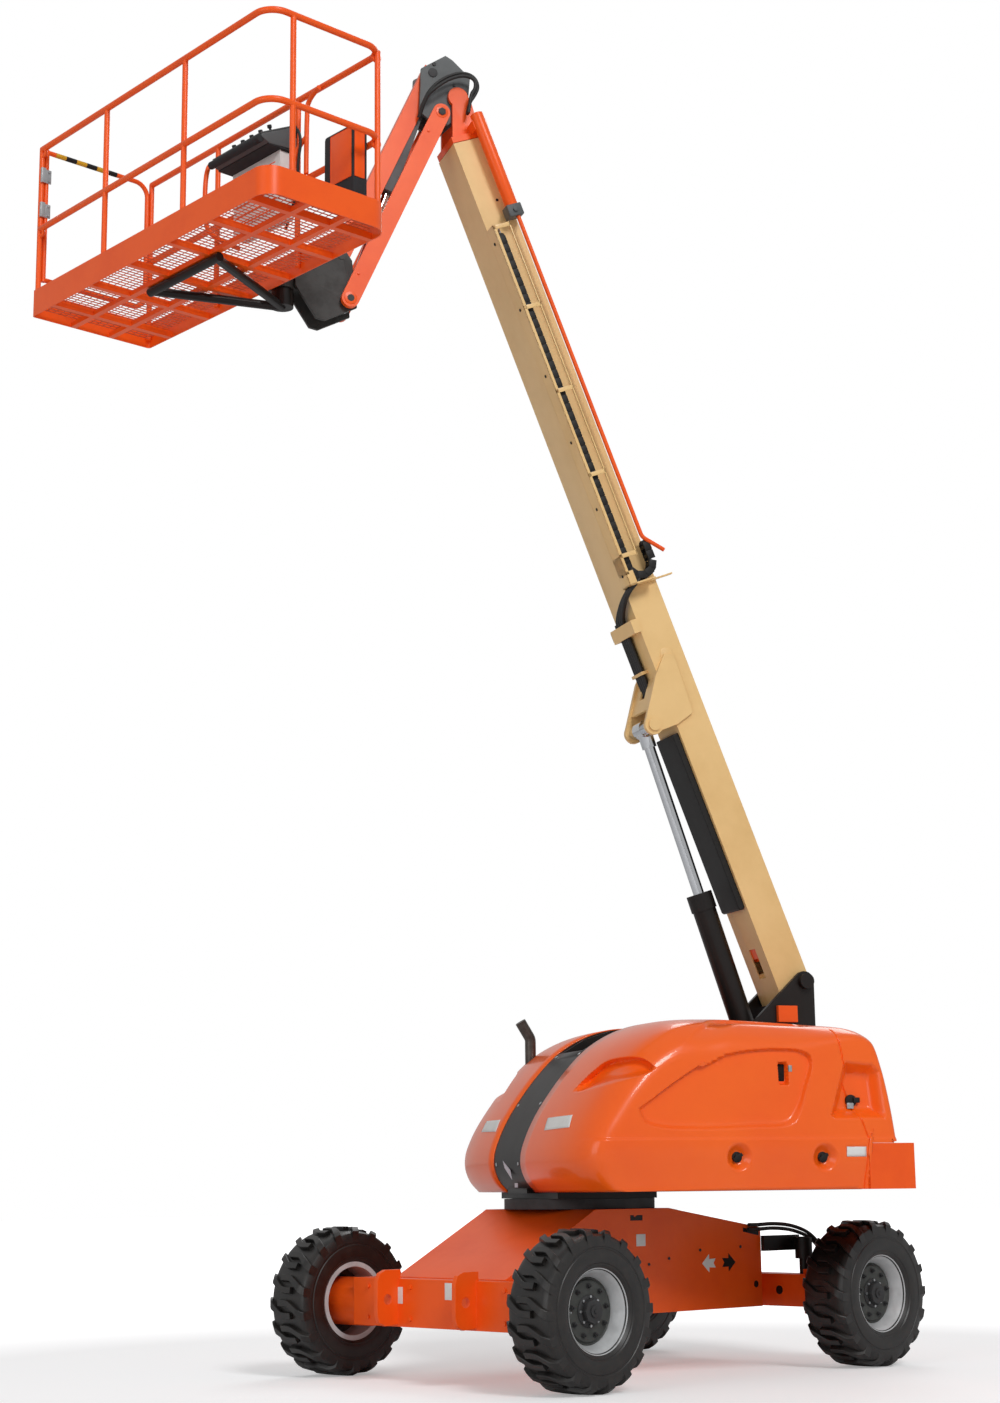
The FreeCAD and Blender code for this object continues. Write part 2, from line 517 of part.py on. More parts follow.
def counterweight():
    half = dim.turntable_half
    rear, front = dim.deck_rear_x - 25, dim.weight_front_x
    bottom, top = dim.bearing_top + dim.slew_gap + dim.deck_thick, dim.weight_top
    corners = [Vector(front, half, bottom), Vector(rear, half, bottom), Vector(rear, -half, bottom),
               Vector(front, -half, bottom)]
    edges = [Part.LineSegment(corners[0], corners[1]).toShape(),
             Part.Arc(corners[1], Vector(rear - dim.tail_bulge, 0, bottom), corners[2]).toShape(),
             Part.LineSegment(corners[2], corners[3]).toShape(),
             Part.LineSegment(corners[3], corners[0]).toShape()]
    low = Part.Face(Part.Wire(edges)).extrude(Vector(0, 0, top - bottom))
    inner = dim.riser_inner_y + dim.riser_thick + 0.5
    core_front = dim.pivot_x - dim.riser_round - 0.5
    core = Part.makeBox(core_front - rear + 60, 2 * dim.hood_inner_y - 24, 620,
                        Vector(rear - 60, -(dim.hood_inner_y - 12), top - 1))
    slots = Part.makeBox(front - core_front + 40, 2 * inner, top, Vector(core_front, -inner, bottom - 5))
    shape = low.cut(slots).fuse(core).removeSplitter()
    keep(feature("counterweight_solid", shape), "counterweight", turntable)


def machinery():
    level = "bearing_top + slew_gap + deck_thick + tray_rise"
    engine = block("engine", ("760", "480", "520"), ("0 - 560", "0 - 620", f"{level} + 40 + 260"))
    feet = block("engine_feet", ("600", "380", "40"), ("0 - 560", "0 - 620", f"{level} + 20"))
    keep(joined("engine_body", engine, feet), "engine_block", turntable)
    tank = block("tank", ("900", "420", "520"), ("0 - 620", "680", f"{level} + 260"))
    neck = round_bar("tank_neck", "50", "70", "z", ("0 - 330", "680", f"{level} + 550"))
    keep(joined("tank_body", tank, neck), "hydraulic_tank", turntable)
    x, y = dim.exhaust_x, dim.exhaust_y
    pipe = tube_along([Vector(x, y, 1450), Vector(x, y, 1955), Vector(x + 65, y, 2060)], dim.exhaust_radius,
                      60)
    keep(feature("exhaust_tube", pipe), "exhaust_pipe", turntable)


# boom and its cylinder

def base_boom():
    mid = "(boom_top + boom_bottom) / 2"
    size = ("boom_end - boom_foot", "boom_width", "boom_top - boom_bottom")
    tube = block("boom_tube", size, ("(boom_end + boom_foot) / 2", "0", mid))
    lugs = []
    for side in (1, -1):
        lugs.append(plate("lift_lug", "XZ_Plane",
                          [("lug_x - 50", "lug_z - 40"), ("lug_x + 45", "lug_z - 40"),
                           ("lug_x + 285", "boom_bottom - 20"),
                           ("lug_x + 390", "boom_bottom + 85"), ("lug_x + 370", "0 - 20"),
                           ("lug_x - 10", "0 - 40"),
                           ("lug_x - 45", "boom_bottom")],
                          "lug_thick", f"{side} * (boom_width / 2 + lug_thick / 2 - 6)"))
        lugs.append(round_bar("lug_eye", "lug_radius", "lug_thick", "y",
                              ("lug_x", f"{side} * (boom_width / 2 + lug_thick / 2 - 6)", "lug_z")))
        lugs.append(round_bar("lug_cap", "38", "16", "y",
                              ("lug_x", f"{side} * (boom_width / 2 + lug_thick + 0)", "lug_z")))
    bridge = plate("lug_bridge", "XZ_Plane",
                   [("lug_x + 105", "lug_z + 20"), ("lug_x + 275", "boom_bottom - 5"),
                    ("lug_x + 265", "boom_bottom + 4"),
                    ("lug_x + 95", "lug_z + 30")], "boom_width - 6")
    clamp = block("hose_clamp", ("85", "boom_width + 30", "50"), ("2395", "0", "boom_bottom - 24"))
    body = joined("base_boom_body", tube, *lugs, bridge, clamp)
    wide, deep = "(boom_width - 2 * boom_wall)", "(boom_top - boom_bottom - 2 * boom_wall)"
    room = block("boom_room_box", ("boom_end", wide, deep), ("boom_end / 2 + 120", "0", mid))
    ring = block("front_pads", ("100", wide, deep), ("boom_end - 60", "0", mid))
    way = block("front_pad_way", ("200", "fly_width + 2 * pad_gap", "fly_height + 2 * pad_gap"),
                ("boom_end - 60", "0", mid))
    bore = cut("boom_room", room, cut("front_pad_ring", ring, way))
    pin = round_bar("boom_bore", "boom_pin_radius + 0.06", "2 * boom_width", "y", ("0", "0", "0"))
    slot = block("bridge_slot", ("150", "80", "120"), ("lug_x + 255", "0 - 30", "boom_bottom - 62"))
    hose_hole = block("clamp_hole", ("120", "150", "32"), ("2395", "0 - 40", "boom_bottom - 24"))
    window = block("foot_window", ("190", "90", "60"), ("190", "0", "boom_bottom"))
    keep(cut("base_boom_cut", body, bore, pin, slot, hose_hole, window), "base_boom", boom)


def boom_trim():
    cover = block("hose_cover", ("1130", "boom_width * 0.86", "42"), ("1125", "0", "boom_bottom - 21.3"))
    roll = round_bar("hose_roll", "21", "boom_width * 0.86", "y", ("560", "0", "boom_bottom - 21.3"))
    keep(joined("hose_cover_body", cover, roll), "boom_hose_cover", boom)
    out = "boom_width / 2"
    length, mid = "(tray_end - tray_start)", "(tray_end + tray_start) / 2"
    low = "tray_low"
    side_y = f"{out} + tray_width - 2.7"
    tray = [block("tray_floor", (length, "tray_width", "6"),
                  (mid, f"{out} + tray_width / 2 + 0.3", f"{low} + 3")),
            block("tray_side", (length, "6", "tray_height"), (mid, side_y, f"{low} + tray_height / 2")),
            block("tray_back", (length, "4", "tray_height * 0.8"),
                  (mid, f"{out} + 2.3", f"{low} + tray_height * 0.4")),
            block("tray_foot", ("10", "tray_width", "end_height"),
                  ("tray_start - 65", f"{out} + tray_width / 2 + 0.3", f"{low} + end_height / 2")),
            block("tray_foot_side", ("190", "6", "end_height"),
                  ("tray_start + 25", side_y, f"{low} + end_height / 2")),
            block("tray_foot_floor", ("190", "tray_width", "6"),
                  ("tray_start + 25", f"{out} + tray_width / 2 + 0.3", f"{low} + 3"))]
    keep(joined("tray_body", *tray), "power_track_tray", boom)
    y = dim.boom_width / 2 + dim.tray_width / 2
    half = dim.chain_height / 2
    low_z = dim.tray_low + 6.3 + half
    high_z = low_z + 2 * dim.track_bend
    back, front = dim.tray_start + 60, dim.tray_end - 25
    arc = Part.Arc(Vector(back, y, low_z), Vector(back - dim.track_bend, y, low_z + dim.track_bend),
                   Vector(back, y, high_z)).toShape()
    wire = Part.Wire([Part.LineSegment(Vector(front, y, low_z), Vector(back, y, low_z)).toShape(), arc,
                      Part.LineSegment(Vector(back, y, high_z), Vector(back + 70, y, high_z)).toShape()])
    w = dim.chain_width / 2
    corners = ((-w, -half), (w, -half), (w, half), (-w, half), (-w, -half))
    section = Part.makePolygon([Vector(front, y + across, low_z + up) for across, up in corners])
    keep(feature("track_links", wire.makePipeShell([section], True, False)), "power_track", boom)


def lift_cylinder():
    barrel = round_bar("lift_tube", "barrel_radius", "barrel_length - 80", "x",
                       ("(barrel_length + 80) / 2", "0", "0"))
    neck = block("lift_neck", ("110", "96", "100"), ("60", "0", "0"))
    gland = round_bar("lift_gland", "gland_radius", "gland_length", "x",
                      ("barrel_length - gland_length / 2", "0", "0"))
    eye = round_bar("lift_eye", "66", "98", "y", ("0", "0", "0"))
    room = round_bar("lift_room", "lift_rod_radius + 0.06", "barrel_length", "x",
                     ("barrel_length / 2 + 130", "0", "0"))
    bore = round_bar("lift_bore", "38.05", "140", "y", ("0", "0", "0"))
    keep(cut("lift_barrel_cut", joined("lift_barrel_body", barrel, gland, eye, neck), room, bore),
         "lift_barrel", lift)
    total = f"{lift_line.Length:.3f}"
    rod = round_bar("lift_rod_bar", "lift_rod_radius", f"{total} - 60 - rod_tail", "x",
                    (f"({total} - 60 + rod_tail) / 2", "0", "0"))
    rod_eye = round_bar("lift_rod_eye", "54", "110", "y", (total, "0", "0"))
    rod_pin = round_bar("lift_rod_pin", "38", "boom_width - 20", "y", (total, "0", "0"))
    neck = round_bar("lift_rod_neck", "46", "90", "x", (f"{total} - 75", "0", "0"))
    keep(joined("lift_rod_body", rod, rod_eye, rod_pin, neck), "lift_rod", lift)


def fly_boom():
    mid = "(boom_top + boom_bottom) / 2"
    length = "(boom_end - fly_tail + 20)"
    tube = block("fly_tube", (length, "fly_width", "fly_height"), (f"fly_tail + {length} / 2", "0", mid))
    pads = block("rear_pads", ("150", "boom_width - 2 * boom_wall - 2 * pad_gap",
                               "boom_top - boom_bottom - 2 * boom_wall - 2 * pad_gap"),
                               ("fly_tail + 95", "0", mid))
    room = block("fly_room", ("boom_end", "fly_width - 14", "fly_height - 14"),
                 ("boom_end / 2 + fly_tail - 100", "0", mid))
    cap = block("fly_cap", ("40", "boom_width - 4", "boom_top - boom_bottom - 6"),
                ("boom_end + 25", "0", mid))
    pieces = [cut("fly_shell", joined("fly_tube_pads", tube, pads), room), cap]
    for side in (1, -1):
        points = [("boom_end + 10", "boom_bottom + 8"), (f"{HEAD_PIN} - 34", "0 - 56"),
                  (f"{HEAD_PIN} + 30", "0 - 52"), (f"{HEAD_PIN} + 30", "60"), (f"{HEAD_PIN} - 60", "70"),
                  ("boom_end + 10", "boom_top - 8")]
        pieces.append(plate("fly_cheek", "XZ_Plane", points, "24", f"{side} * 111"))
        pieces.append(round_bar("fly_eye", "66", "24", "y", (HEAD_PIN, f"{side} * 111", "0")))
    arm = block("push_arm", ("60", "push_tube_y - 90", "90"),
                ("boom_end + 60", "(push_tube_y + 100) / 2", "push_tube_z"))
    seat = round_bar("push_seat", "push_tube_radius + 0.2", "400", "x",
                     ("boom_end + 60", "push_tube_y", "push_tube_z"))
    pieces.append(cut("push_arm_cut", arm, seat))
    pieces.append(round_bar("head_pin", "30", "246", "y", (HEAD_PIN, "0", "0")))
    keep(joined("fly_boom_body", *pieces), "fly_boom", boom)
    y, z = dim.push_tube_y, dim.push_tube_z
    tube = bar(Vector(dim.tray_end + 70, y, z), Vector(dim.boom_end + 130, y, z), dim.push_tube_radius)
    thin = tube_along([Vector(dim.tray_end + 90, y + 16, z + 10), Vector(2900, y + 16, z + 10),
                       Vector(2780, y + 16, z + 120)], dim.push_rod_radius, 60)
    clamp = Part.makeBox(70, 76, 86, Vector(dim.tray_end + 30, y - 38, z - 48))
    keep(feature("push_tube_solid", tube.fuse([clamp, thin]).removeSplitter()), "push_tube", boom)


# jib

def jib_head():
    points = [("0 - 70", "0 - 45"), ("60", "0 - 185"), ("150", "0 - 190"), ("250", "0 - 120"),
              ("235", "175"),
              ("75", "285"), ("30", "262"), ("0 - 88", "158")]
    pieces = [plate("head_plate", "XZ_Plane", points, "head_plate_thick",
                    f"{side} * head_plate_y") for side in (1, -1)]
    web = "2 * head_plate_y - head_plate_thick + 2"
    pieces.append(block("head_web", ("90", web, "16"), ("40", "0", "230")))
    sleeve = round_bar("head_sleeve", "52", "2 * head_plate_y + head_plate_thick", "y", ("0", "0", "0"))
    body = joined("jib_head_body", *pieces, sleeve)
    bore = round_bar("head_bore", "30.05", "400", "y", ("0", "0", "0"))
    pins = [round_bar("head_low_pin", "jib_pin_radius", "2 * (lower_arm_y + lower_arm_thick / 2 + 5)", "y",
                      ("lower_pin_x", "0", "lower_pin_z")),
            round_bar("head_up_pin", "jib_pin_radius", "2 * head_plate_y + 30", "y",
                      ("lower_pin_x + arm_gap_x", "0", "lower_pin_z + arm_gap_z"))]
    keep(joined("jib_head_pins", cut("jib_head_cut", body, bore), *pins), "jib_head", head)


def lower_arm_bars():
    for side, label in ((1, "jib_lower_arm_left"), (-1, "jib_lower_arm_right")):
        y = f"{side} * lower_arm_y"
        flat = block(label + "_bar", ("jib_length", "lower_arm_thick", "arm_depth"),
                     ("jib_length / 2", y, "0"))
        ends = [round_bar(label + "_end", "arm_depth / 2", "lower_arm_thick", "y",
                          (at, y, "0")) for at in ("0", "jib_length")]
        bores = [round_bar(label + "_bore", "jib_pin_radius + 0.05", "2 * lower_arm_thick", "y",
                           (at, y, "0"))
                 for at in ("0", "jib_length")]
        keep(cut(label + "_cut", joined(label + "_body", flat, *ends), *bores), label, lower_arm)


def upper_arm_box():
    deep, wide = "arm_depth", "upper_arm_width"
    shell = block("upper_shell", ("jib_length + 90", wide, deep), ("jib_length / 2", "0", "6"))
    room = block("upper_room", ("jib_length + 200", f"{wide} - 16", deep), ("jib_length / 2", "0", "0 - 2"))
    bosses = [round_bar("upper_boss", "36", "12", "y", (at, f"{side} * ({wide} / 2 - 6)", "0"))
              for at in ("0", "jib_length") for side in (1, -1)]
    bores = [round_bar("upper_bore", "jib_pin_radius + 0.05", "400", "y", (at, "0", "0"))
             for at in ("0", "jib_length")]
    keep(cut("upper_arm_cut", joined("upper_arm_body", cut("upper_channel", shell, room), *bosses), *bores),
         "jib_upper_arm", upper_arm)


def jib_foot():
    reach = "(rotator_x - rotator_radius - %.3f)" % foot_at.x
    points = [("0 - 52", "0 - 40"), ("150", "0 - 145"), ("205", "0 - 135"),
              (reach + " + 24", "rotator_z - %.3f - 36" % foot_at.z),
              (reach + " + 24", "rotator_z - %.3f + 36" % foot_at.z), ("arm_gap_x + 70", "arm_gap_z + 20"),
              ("arm_gap_x - 15", "arm_gap_z + 50"), ("0 - 20", "arm_gap_z - 20")]
    pieces = [plate("foot_plate", "XZ_Plane", points, "head_plate_thick",
                    f"{side} * head_plate_y") for side in (1, -1)]
    drop = "(rotator_z - %.3f)" % foot_at.z
    pieces.append(block("foot_web", ("20", "2 * head_plate_y", "70"), (reach + " + 2", "0", drop)))
    centre = ("rotator_x - %.3f" % foot_at.x, "0", drop)
    shell = round_bar("rotator_shell", "rotator_radius", "rotator_height", "z", centre)
    core = round_bar("rotator_core", "30.05", "rotator_height * 2", "z", centre)
    pin_end = "(lower_arm_y + lower_arm_thick / 2 + 5)"
    inside = "(upper_arm_width / 2 + 5)"
    pins = [round_bar("foot_low_pin", "jib_pin_radius", f"{pin_end} - {inside}", "y",
                      ("0", f"{side} * ({pin_end} + {inside}) / 2", "0")) for side in (1, -1)]
    pins.append(round_bar("foot_up_pin", "jib_pin_radius", "2 * head_plate_y + 30", "y",
                          ("arm_gap_x", "0", "arm_gap_z")))
    keep(joined("jib_foot_body", cut("foot_shell", joined("foot_body", *pieces, shell), core), *pins),
         "jib_foot", foot)


def jib_cylinder_parts():
    long = "jib_barrel_length"
    guard = block("guard", (f"{long} - 70", "guard_width", "84"), (f"({long} + 70) / 2", "0", "0"))
    eye = round_bar("guard_eye", "44", "guard_width", "y", ("0", "0", "0"))
    neck = block("guard_neck", ("90", "guard_width", "60"), ("50", "0", "0"))
    room = round_bar("guard_room", "22.06", long, "x", (f"{long} / 2 + 100", "0", "0"))
    bore = round_bar("guard_bore", "jib_pin_radius + 0.05", "120", "y", ("0", "0", "0"))
    keep(cut("jib_barrel_cut", joined("jib_barrel_body", guard, neck, eye), room, bore), "jib_barrel",
         jib_cylinder)
    total = f"{jib_cylinder_line.Length:.3f}"
    inner = f"({long} - 210)"
    rod = round_bar("jib_rod_bar", "22", f"{total} - {inner}", "x", (f"({total} + {inner}) / 2", "0", "0"))
    rod_eye = round_bar("jib_rod_eye", "40", "76", "y", (total, "0", "0"))
    keep(joined("jib_rod_body", rod, rod_eye), "jib_rod", jib_cylinder)


# platform: local x away from the rotator, y along its length, z from the floor frame's underside

def platform_parts():
    near, far = dim.platform_offset, dim.platform_offset + dim.platform_width
    shift, half = dim.platform_shift, dim.platform_length / 2
    wall, toe = dim.toe_wall, dim.toe_height

    def rounded(x0, x1, y0, y1, low, high, radius):
        # full rounds at the closed end, small ones beside the gate
        solid = Part.makeBox(x1 - x0, y1 - y0, high - low, Vector(x0, y0, low))
        gate_radius = max(radius - dim.platform_round + dim.gate_round, dim.mesh_round)
        for end, size in ((y1, radius), (y0, gate_radius)):
            upright = [edge for edge in solid.Edges
                       if abs(edge.tangentAt(0).z) > 0.9 and abs(edge.CenterOfMass.y - end) < 1]
            solid = solid.makeFillet(size, upright)
        return solid

    outer = rounded(near, far, shift - half, shift + half, 0, toe, dim.platform_round)
    inner = rounded(near + wall, far - wall, shift - half + wall, shift + half - wall, -10, toe + 10,
                    dim.platform_round - wall)
    frame_ring = outer.cut(inner)
    members = []
    for y in (-0.80, -0.46, -0.12, 0.22, 0.56, 0.86):
        members.append(Part.makeBox(dim.platform_width - wall, 38, 40,
                                    Vector(near + wall / 2, shift + y * half - 19, 0)))
    for x in (0.34, 0.66):
        members.append(Part.makeBox(38, dim.platform_length - wall, 30,
                                    Vector(near + x * dim.platform_width - 19, shift - half + wall / 2, 0)))
    keep(feature("platform_floor_solid", frame_ring.fuse(members).removeSplitter()), "platform_floor",
         platform)
    edge = dim.mesh_inset
    grate = rounded(near + edge, far - edge, shift - half + edge, shift + half - edge, dim.deck_top - 4,
                    dim.deck_top,
                    dim.platform_round - edge)
    keep(feature("floor_mesh_solid", grate), "floor_mesh", platform)

    r = dim.rail_radius
    post = r - 2
    beside = wall + post + 0.3
    x0, x1 = near + beside, far - beside
    y0, y1 = shift - half + beside, shift + half - beside
    top, middle = dim.rail_height - r, dim.mid_rail
    rails = [tube_along([Vector(x0, y0, z), Vector(x0, y1, z), Vector(x1, y1, z), Vector(x1, y0, z)], r,
                        120)
             for z in (top, middle)]
    bend = dim.platform_round - wall
    corner = wall + bend - (bend - post - 0.3) * math.sqrt(0.5)
    posts = [(x1, y0), (x1, -447), (x1, 384), (820, y1), (near + corner, shift + half - corner), (x0, y0),
             (x0, -447),
             (x0, 384)]
    for x, y in posts:
        rails.append(Part.makeCylinder(post, top - dim.deck_top - 0.7, Vector(x, y, dim.deck_top + 0.7)))
    shape = rails[0].fuse(rails[1:])
    keep(feature("platform_rails_solid", shape), "platform_rails", platform)
    gate_x0, gate_x1 = x0 + 34, x1 - 34
    gate = tube_along([Vector(gate_x1, y0, 250), Vector(gate_x0, y0, 250), Vector(gate_x0, y0, top - 8),
                       Vector(gate_x1, y0, top - 8)], 15, 90)
    stile = bar(Vector(gate_x1, y0, 236), Vector(gate_x1, y0, top + 6), 15)
    keep(feature("platform_gate_solid", gate.fuse([stile]).removeSplitter()), "platform_gate", platform)

    base = Part.makeBox(260, 520, 160, Vector(x0 + r + 0.3, -120, dim.console_z))
    sheet_box = Part.makeBox(60, 400, dim.console_z - dim.sheet_z + 5,
                             Vector(x0 + r + 0.3, -60, dim.sheet_z))
    keep(feature("console_solid", base.fuse([sheet_box]).removeSplitter()), "platform_console", platform)
    side_box = Part.makeBox(120, 270, 450, Vector(x0 + r + 0.3, shift + dim.side_box_y, 225))
    keep(feature("side_box_solid", side_box), "platform_box", platform)


def platform_support():
    near = dim.platform_offset
    level = -27.3
    shell_low = dim.rotator_z - dim.rotator_height / 2 - dim.platform_z
    hub = Part.makeCylinder(70, shell_low + 50 - 0.5, Vector(0, 0, -50))
    tubes = [bar(Vector(0, 0, level - 17), Vector(near + 560, 330, level), 27),
             bar(Vector(0, 0, level - 17), Vector(near + 560, -330, level), 27),
             bar(Vector(near + 560, -360, level), Vector(near + 560, 360, level), 27)]
    shaft = Part.makeCylinder(30, dim.rotator_height + 20, Vector(0, 0, shell_low - 1))
    keep(feature("support_solid", hub.fuse(tubes + [shaft]).removeSplitter()), "platform_support", platform)


chassis_frame()
slew_bearing()
fixed_axle()
steer_axle()
for side, name in ((1, "left"), (-1, "right")):
    lock_cylinder(side, "lock_cylinder_" + name)
    knuckle(side, "knuckle_" + name)
tie_rod()
rubber = tyre_shape()
for end, along in (("front", dim.fixed_axle_x), ("rear", dim.fixed_axle_x - dim.wheelbase)):
    for side, name in ((1, "left"), (-1, "right")):
        at = Placement(Vector(along, side * dim.track_width / 2, dim.tyre_radius),
                       Rotation(Z_AXIS, 0 if side > 0 else 180))
        tyre(f"tyre_{end}_{name}", at)
        rim(f"rim_{end}_{name}", at)
turntable_base()
counterweight()
machinery()
hood(1, "hood_left")
hood(-1, "hood_right")
base_boom()
boom_trim()
lift_cylinder()
fly_boom()
jib_head()
lower_arm_bars()
upper_arm_box()
jib_foot()
jib_cylinder_parts()
platform_parts()
platform_support()

doc.recompute()
faults = [item.Name for item in doc.Objects if "Invalid" in item.State or "Error" in item.State]
faults += [item.Label for item in sub_parts if item.Shape.isNull() or not item.Shape.isValid()]
if faults:
    raise RuntimeError("failed: " + ", ".join(faults))
os.makedirs("parts", exist_ok=True)
for item in sub_parts:
    item.Shape.exportStep(f"parts/{item.Label}.step")
    print(f"{item.Label}: {len(item.Shape.Solids)} solid, {item.Shape.Volume / 1e9:.4f} m3")
print(len(sub_parts), "sub-parts")
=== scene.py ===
import json
import math

import bmesh
import bpy
from mathutils import Matrix, Vector

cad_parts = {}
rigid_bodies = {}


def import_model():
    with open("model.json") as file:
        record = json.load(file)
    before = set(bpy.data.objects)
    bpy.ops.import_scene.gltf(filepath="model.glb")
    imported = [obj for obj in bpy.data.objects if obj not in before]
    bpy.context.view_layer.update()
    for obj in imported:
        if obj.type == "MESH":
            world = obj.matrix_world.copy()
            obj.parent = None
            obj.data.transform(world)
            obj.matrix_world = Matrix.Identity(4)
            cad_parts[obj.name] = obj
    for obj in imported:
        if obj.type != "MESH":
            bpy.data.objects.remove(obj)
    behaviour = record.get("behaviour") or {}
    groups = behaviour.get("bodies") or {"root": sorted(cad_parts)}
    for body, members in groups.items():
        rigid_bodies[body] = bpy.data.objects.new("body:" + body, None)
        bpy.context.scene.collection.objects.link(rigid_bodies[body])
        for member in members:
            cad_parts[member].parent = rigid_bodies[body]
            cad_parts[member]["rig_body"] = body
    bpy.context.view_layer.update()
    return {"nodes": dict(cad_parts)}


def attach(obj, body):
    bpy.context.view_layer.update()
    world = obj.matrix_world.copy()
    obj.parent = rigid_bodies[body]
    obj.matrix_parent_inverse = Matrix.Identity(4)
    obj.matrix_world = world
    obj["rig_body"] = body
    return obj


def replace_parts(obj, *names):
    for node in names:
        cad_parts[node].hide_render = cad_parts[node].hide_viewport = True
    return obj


# Telescopic boom lift. Metres, origin on the ground under the slewing axis,
# +X towards the fixed axle, +Y to the machine's left, +Z up.
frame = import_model()
nodes = frame["nodes"]
print("frame loaded")

# where the moving pieces stand at rest
stance = {
    "slew": -24.2, "pivot": (-1.42, 0, 2.26), "boomAngle": 68.7, "headPin": 5.936,
    "lowerPin": (0.115, -0.125), "jibAngle": -65.8, "jibLength": 1.437, "rotatorAlong": 1.835,
    "platformTurn": 22.7, "platformBase": 6.345,
}


def turnedAbout(axis, degrees, at=(0, 0, 0)):
    return Matrix.Translation(at) @ Matrix.Rotation(math.radians(degrees), 4, axis)


turntableFrame = turnedAbout("Z", stance["slew"])
boomFrame = turntableFrame @ turnedAbout("Y", -stance["boomAngle"], stance["pivot"])
headPoint = turntableFrame.inverted() @ boomFrame @ Vector((stance["headPin"], 0, 0))
headFrame = turntableFrame @ Matrix.Translation(headPoint)
lowerPin = headPoint + Vector((stance["lowerPin"][0], 0, stance["lowerPin"][1]))
lowerArmFrame = turntableFrame @ turnedAbout("Y", -stance["jibAngle"], lowerPin)
platformFrame = turntableFrame @ turnedAbout(
    "Z", stance["platformTurn"], (stance["rotatorAlong"], 0, stance["platformBase"]))


# colours and finishes

def linear(hexText):
    parts = [int(hexText[i:i + 2], 16) / 255 for i in (1, 3, 5)]
    return tuple(c / 12.92 if c <= 0.04045 else ((c + 0.055) / 1.055) ** 2.4 for c in parts) + (1,)


def addNode(tree, kind, settings=(), links=()):
    node = tree.nodes.new(kind)
    for name, value in dict(settings).items():
        if hasattr(node, name) and name not in node.inputs:
            setattr(node, name, value)
        else:
            node.inputs[name].default_value = value
    for name, source in dict(links).items():
        tree.links.new(source, node.inputs[name])
    return node


patchwork = {"detail": 5.0, "rough": 0.62, "low": 0.42, "high": 0.72, "grainDetail": 3.0, "bump": 0.5,
    "sheen": 0.85, "dull": 1.2}


def newFinish(name, surface, tone, relief, metallic=0.0, coat=0.0, coatRoughness=0.1, specular=0.5):
    # surface: (hex, roughness); tone: (second hex, patch size mm, amount); relief: (grain mm, height mm)
    material = bpy.data.materials.new(name)
    material.use_nodes = True
    tree = material.node_tree
    shader = tree.nodes["Principled BSDF"]
    shader.inputs["Metallic"].default_value = metallic
    shader.inputs["Coat Weight"].default_value = coat
    shader.inputs["Coat Roughness"].default_value = coatRoughness
    if metallic < 0.5:
        shader.inputs["Specular IOR Level"].default_value = specular
    place = addNode(tree, "ShaderNodeTexCoord")
    patches = addNode(tree, "ShaderNodeTexNoise", {"Scale": 1000 / tone[1], "Detail": patchwork["detail"],
        "Roughness": patchwork["rough"]}, {"Vector": place.outputs["Object"]})
    spread = addNode(tree, "ShaderNodeMapRange", {"From Min": patchwork["low"],
        "From Max": patchwork["high"], "To Max": tone[2]}, {"Value": patches.outputs["Fac"]})
    colour = addNode(tree, "ShaderNodeMix", {"data_type": "RGBA"}, {"Factor": spread.outputs["Result"]})
    colour.inputs[6].default_value = linear(surface[0])
    colour.inputs[7].default_value = linear(tone[0])
    tree.links.new(colour.outputs[2], shader.inputs["Base Color"])
    haze = addNode(tree, "ShaderNodeMapRange", {"To Min": surface[1] * patchwork["sheen"],
        "To Max": surface[1] * patchwork["dull"]}, {"Value": patches.outputs["Fac"]})
    tree.links.new(haze.outputs["Result"], shader.inputs["Roughness"])
    grain = addNode(tree, "ShaderNodeTexNoise", {"Scale": 1000 / relief[0],
        "Detail": patchwork["grainDetail"]}, {"Vector": place.outputs["Object"]})
    bump = addNode(tree, "ShaderNodeBump", {"Distance": relief[1] / 1000, "Strength": patchwork["bump"]},
        {"Height": grain.outputs["Fac"]})
    tree.links.new(bump.outputs["Normal"], shader.inputs["Normal"])
    return material


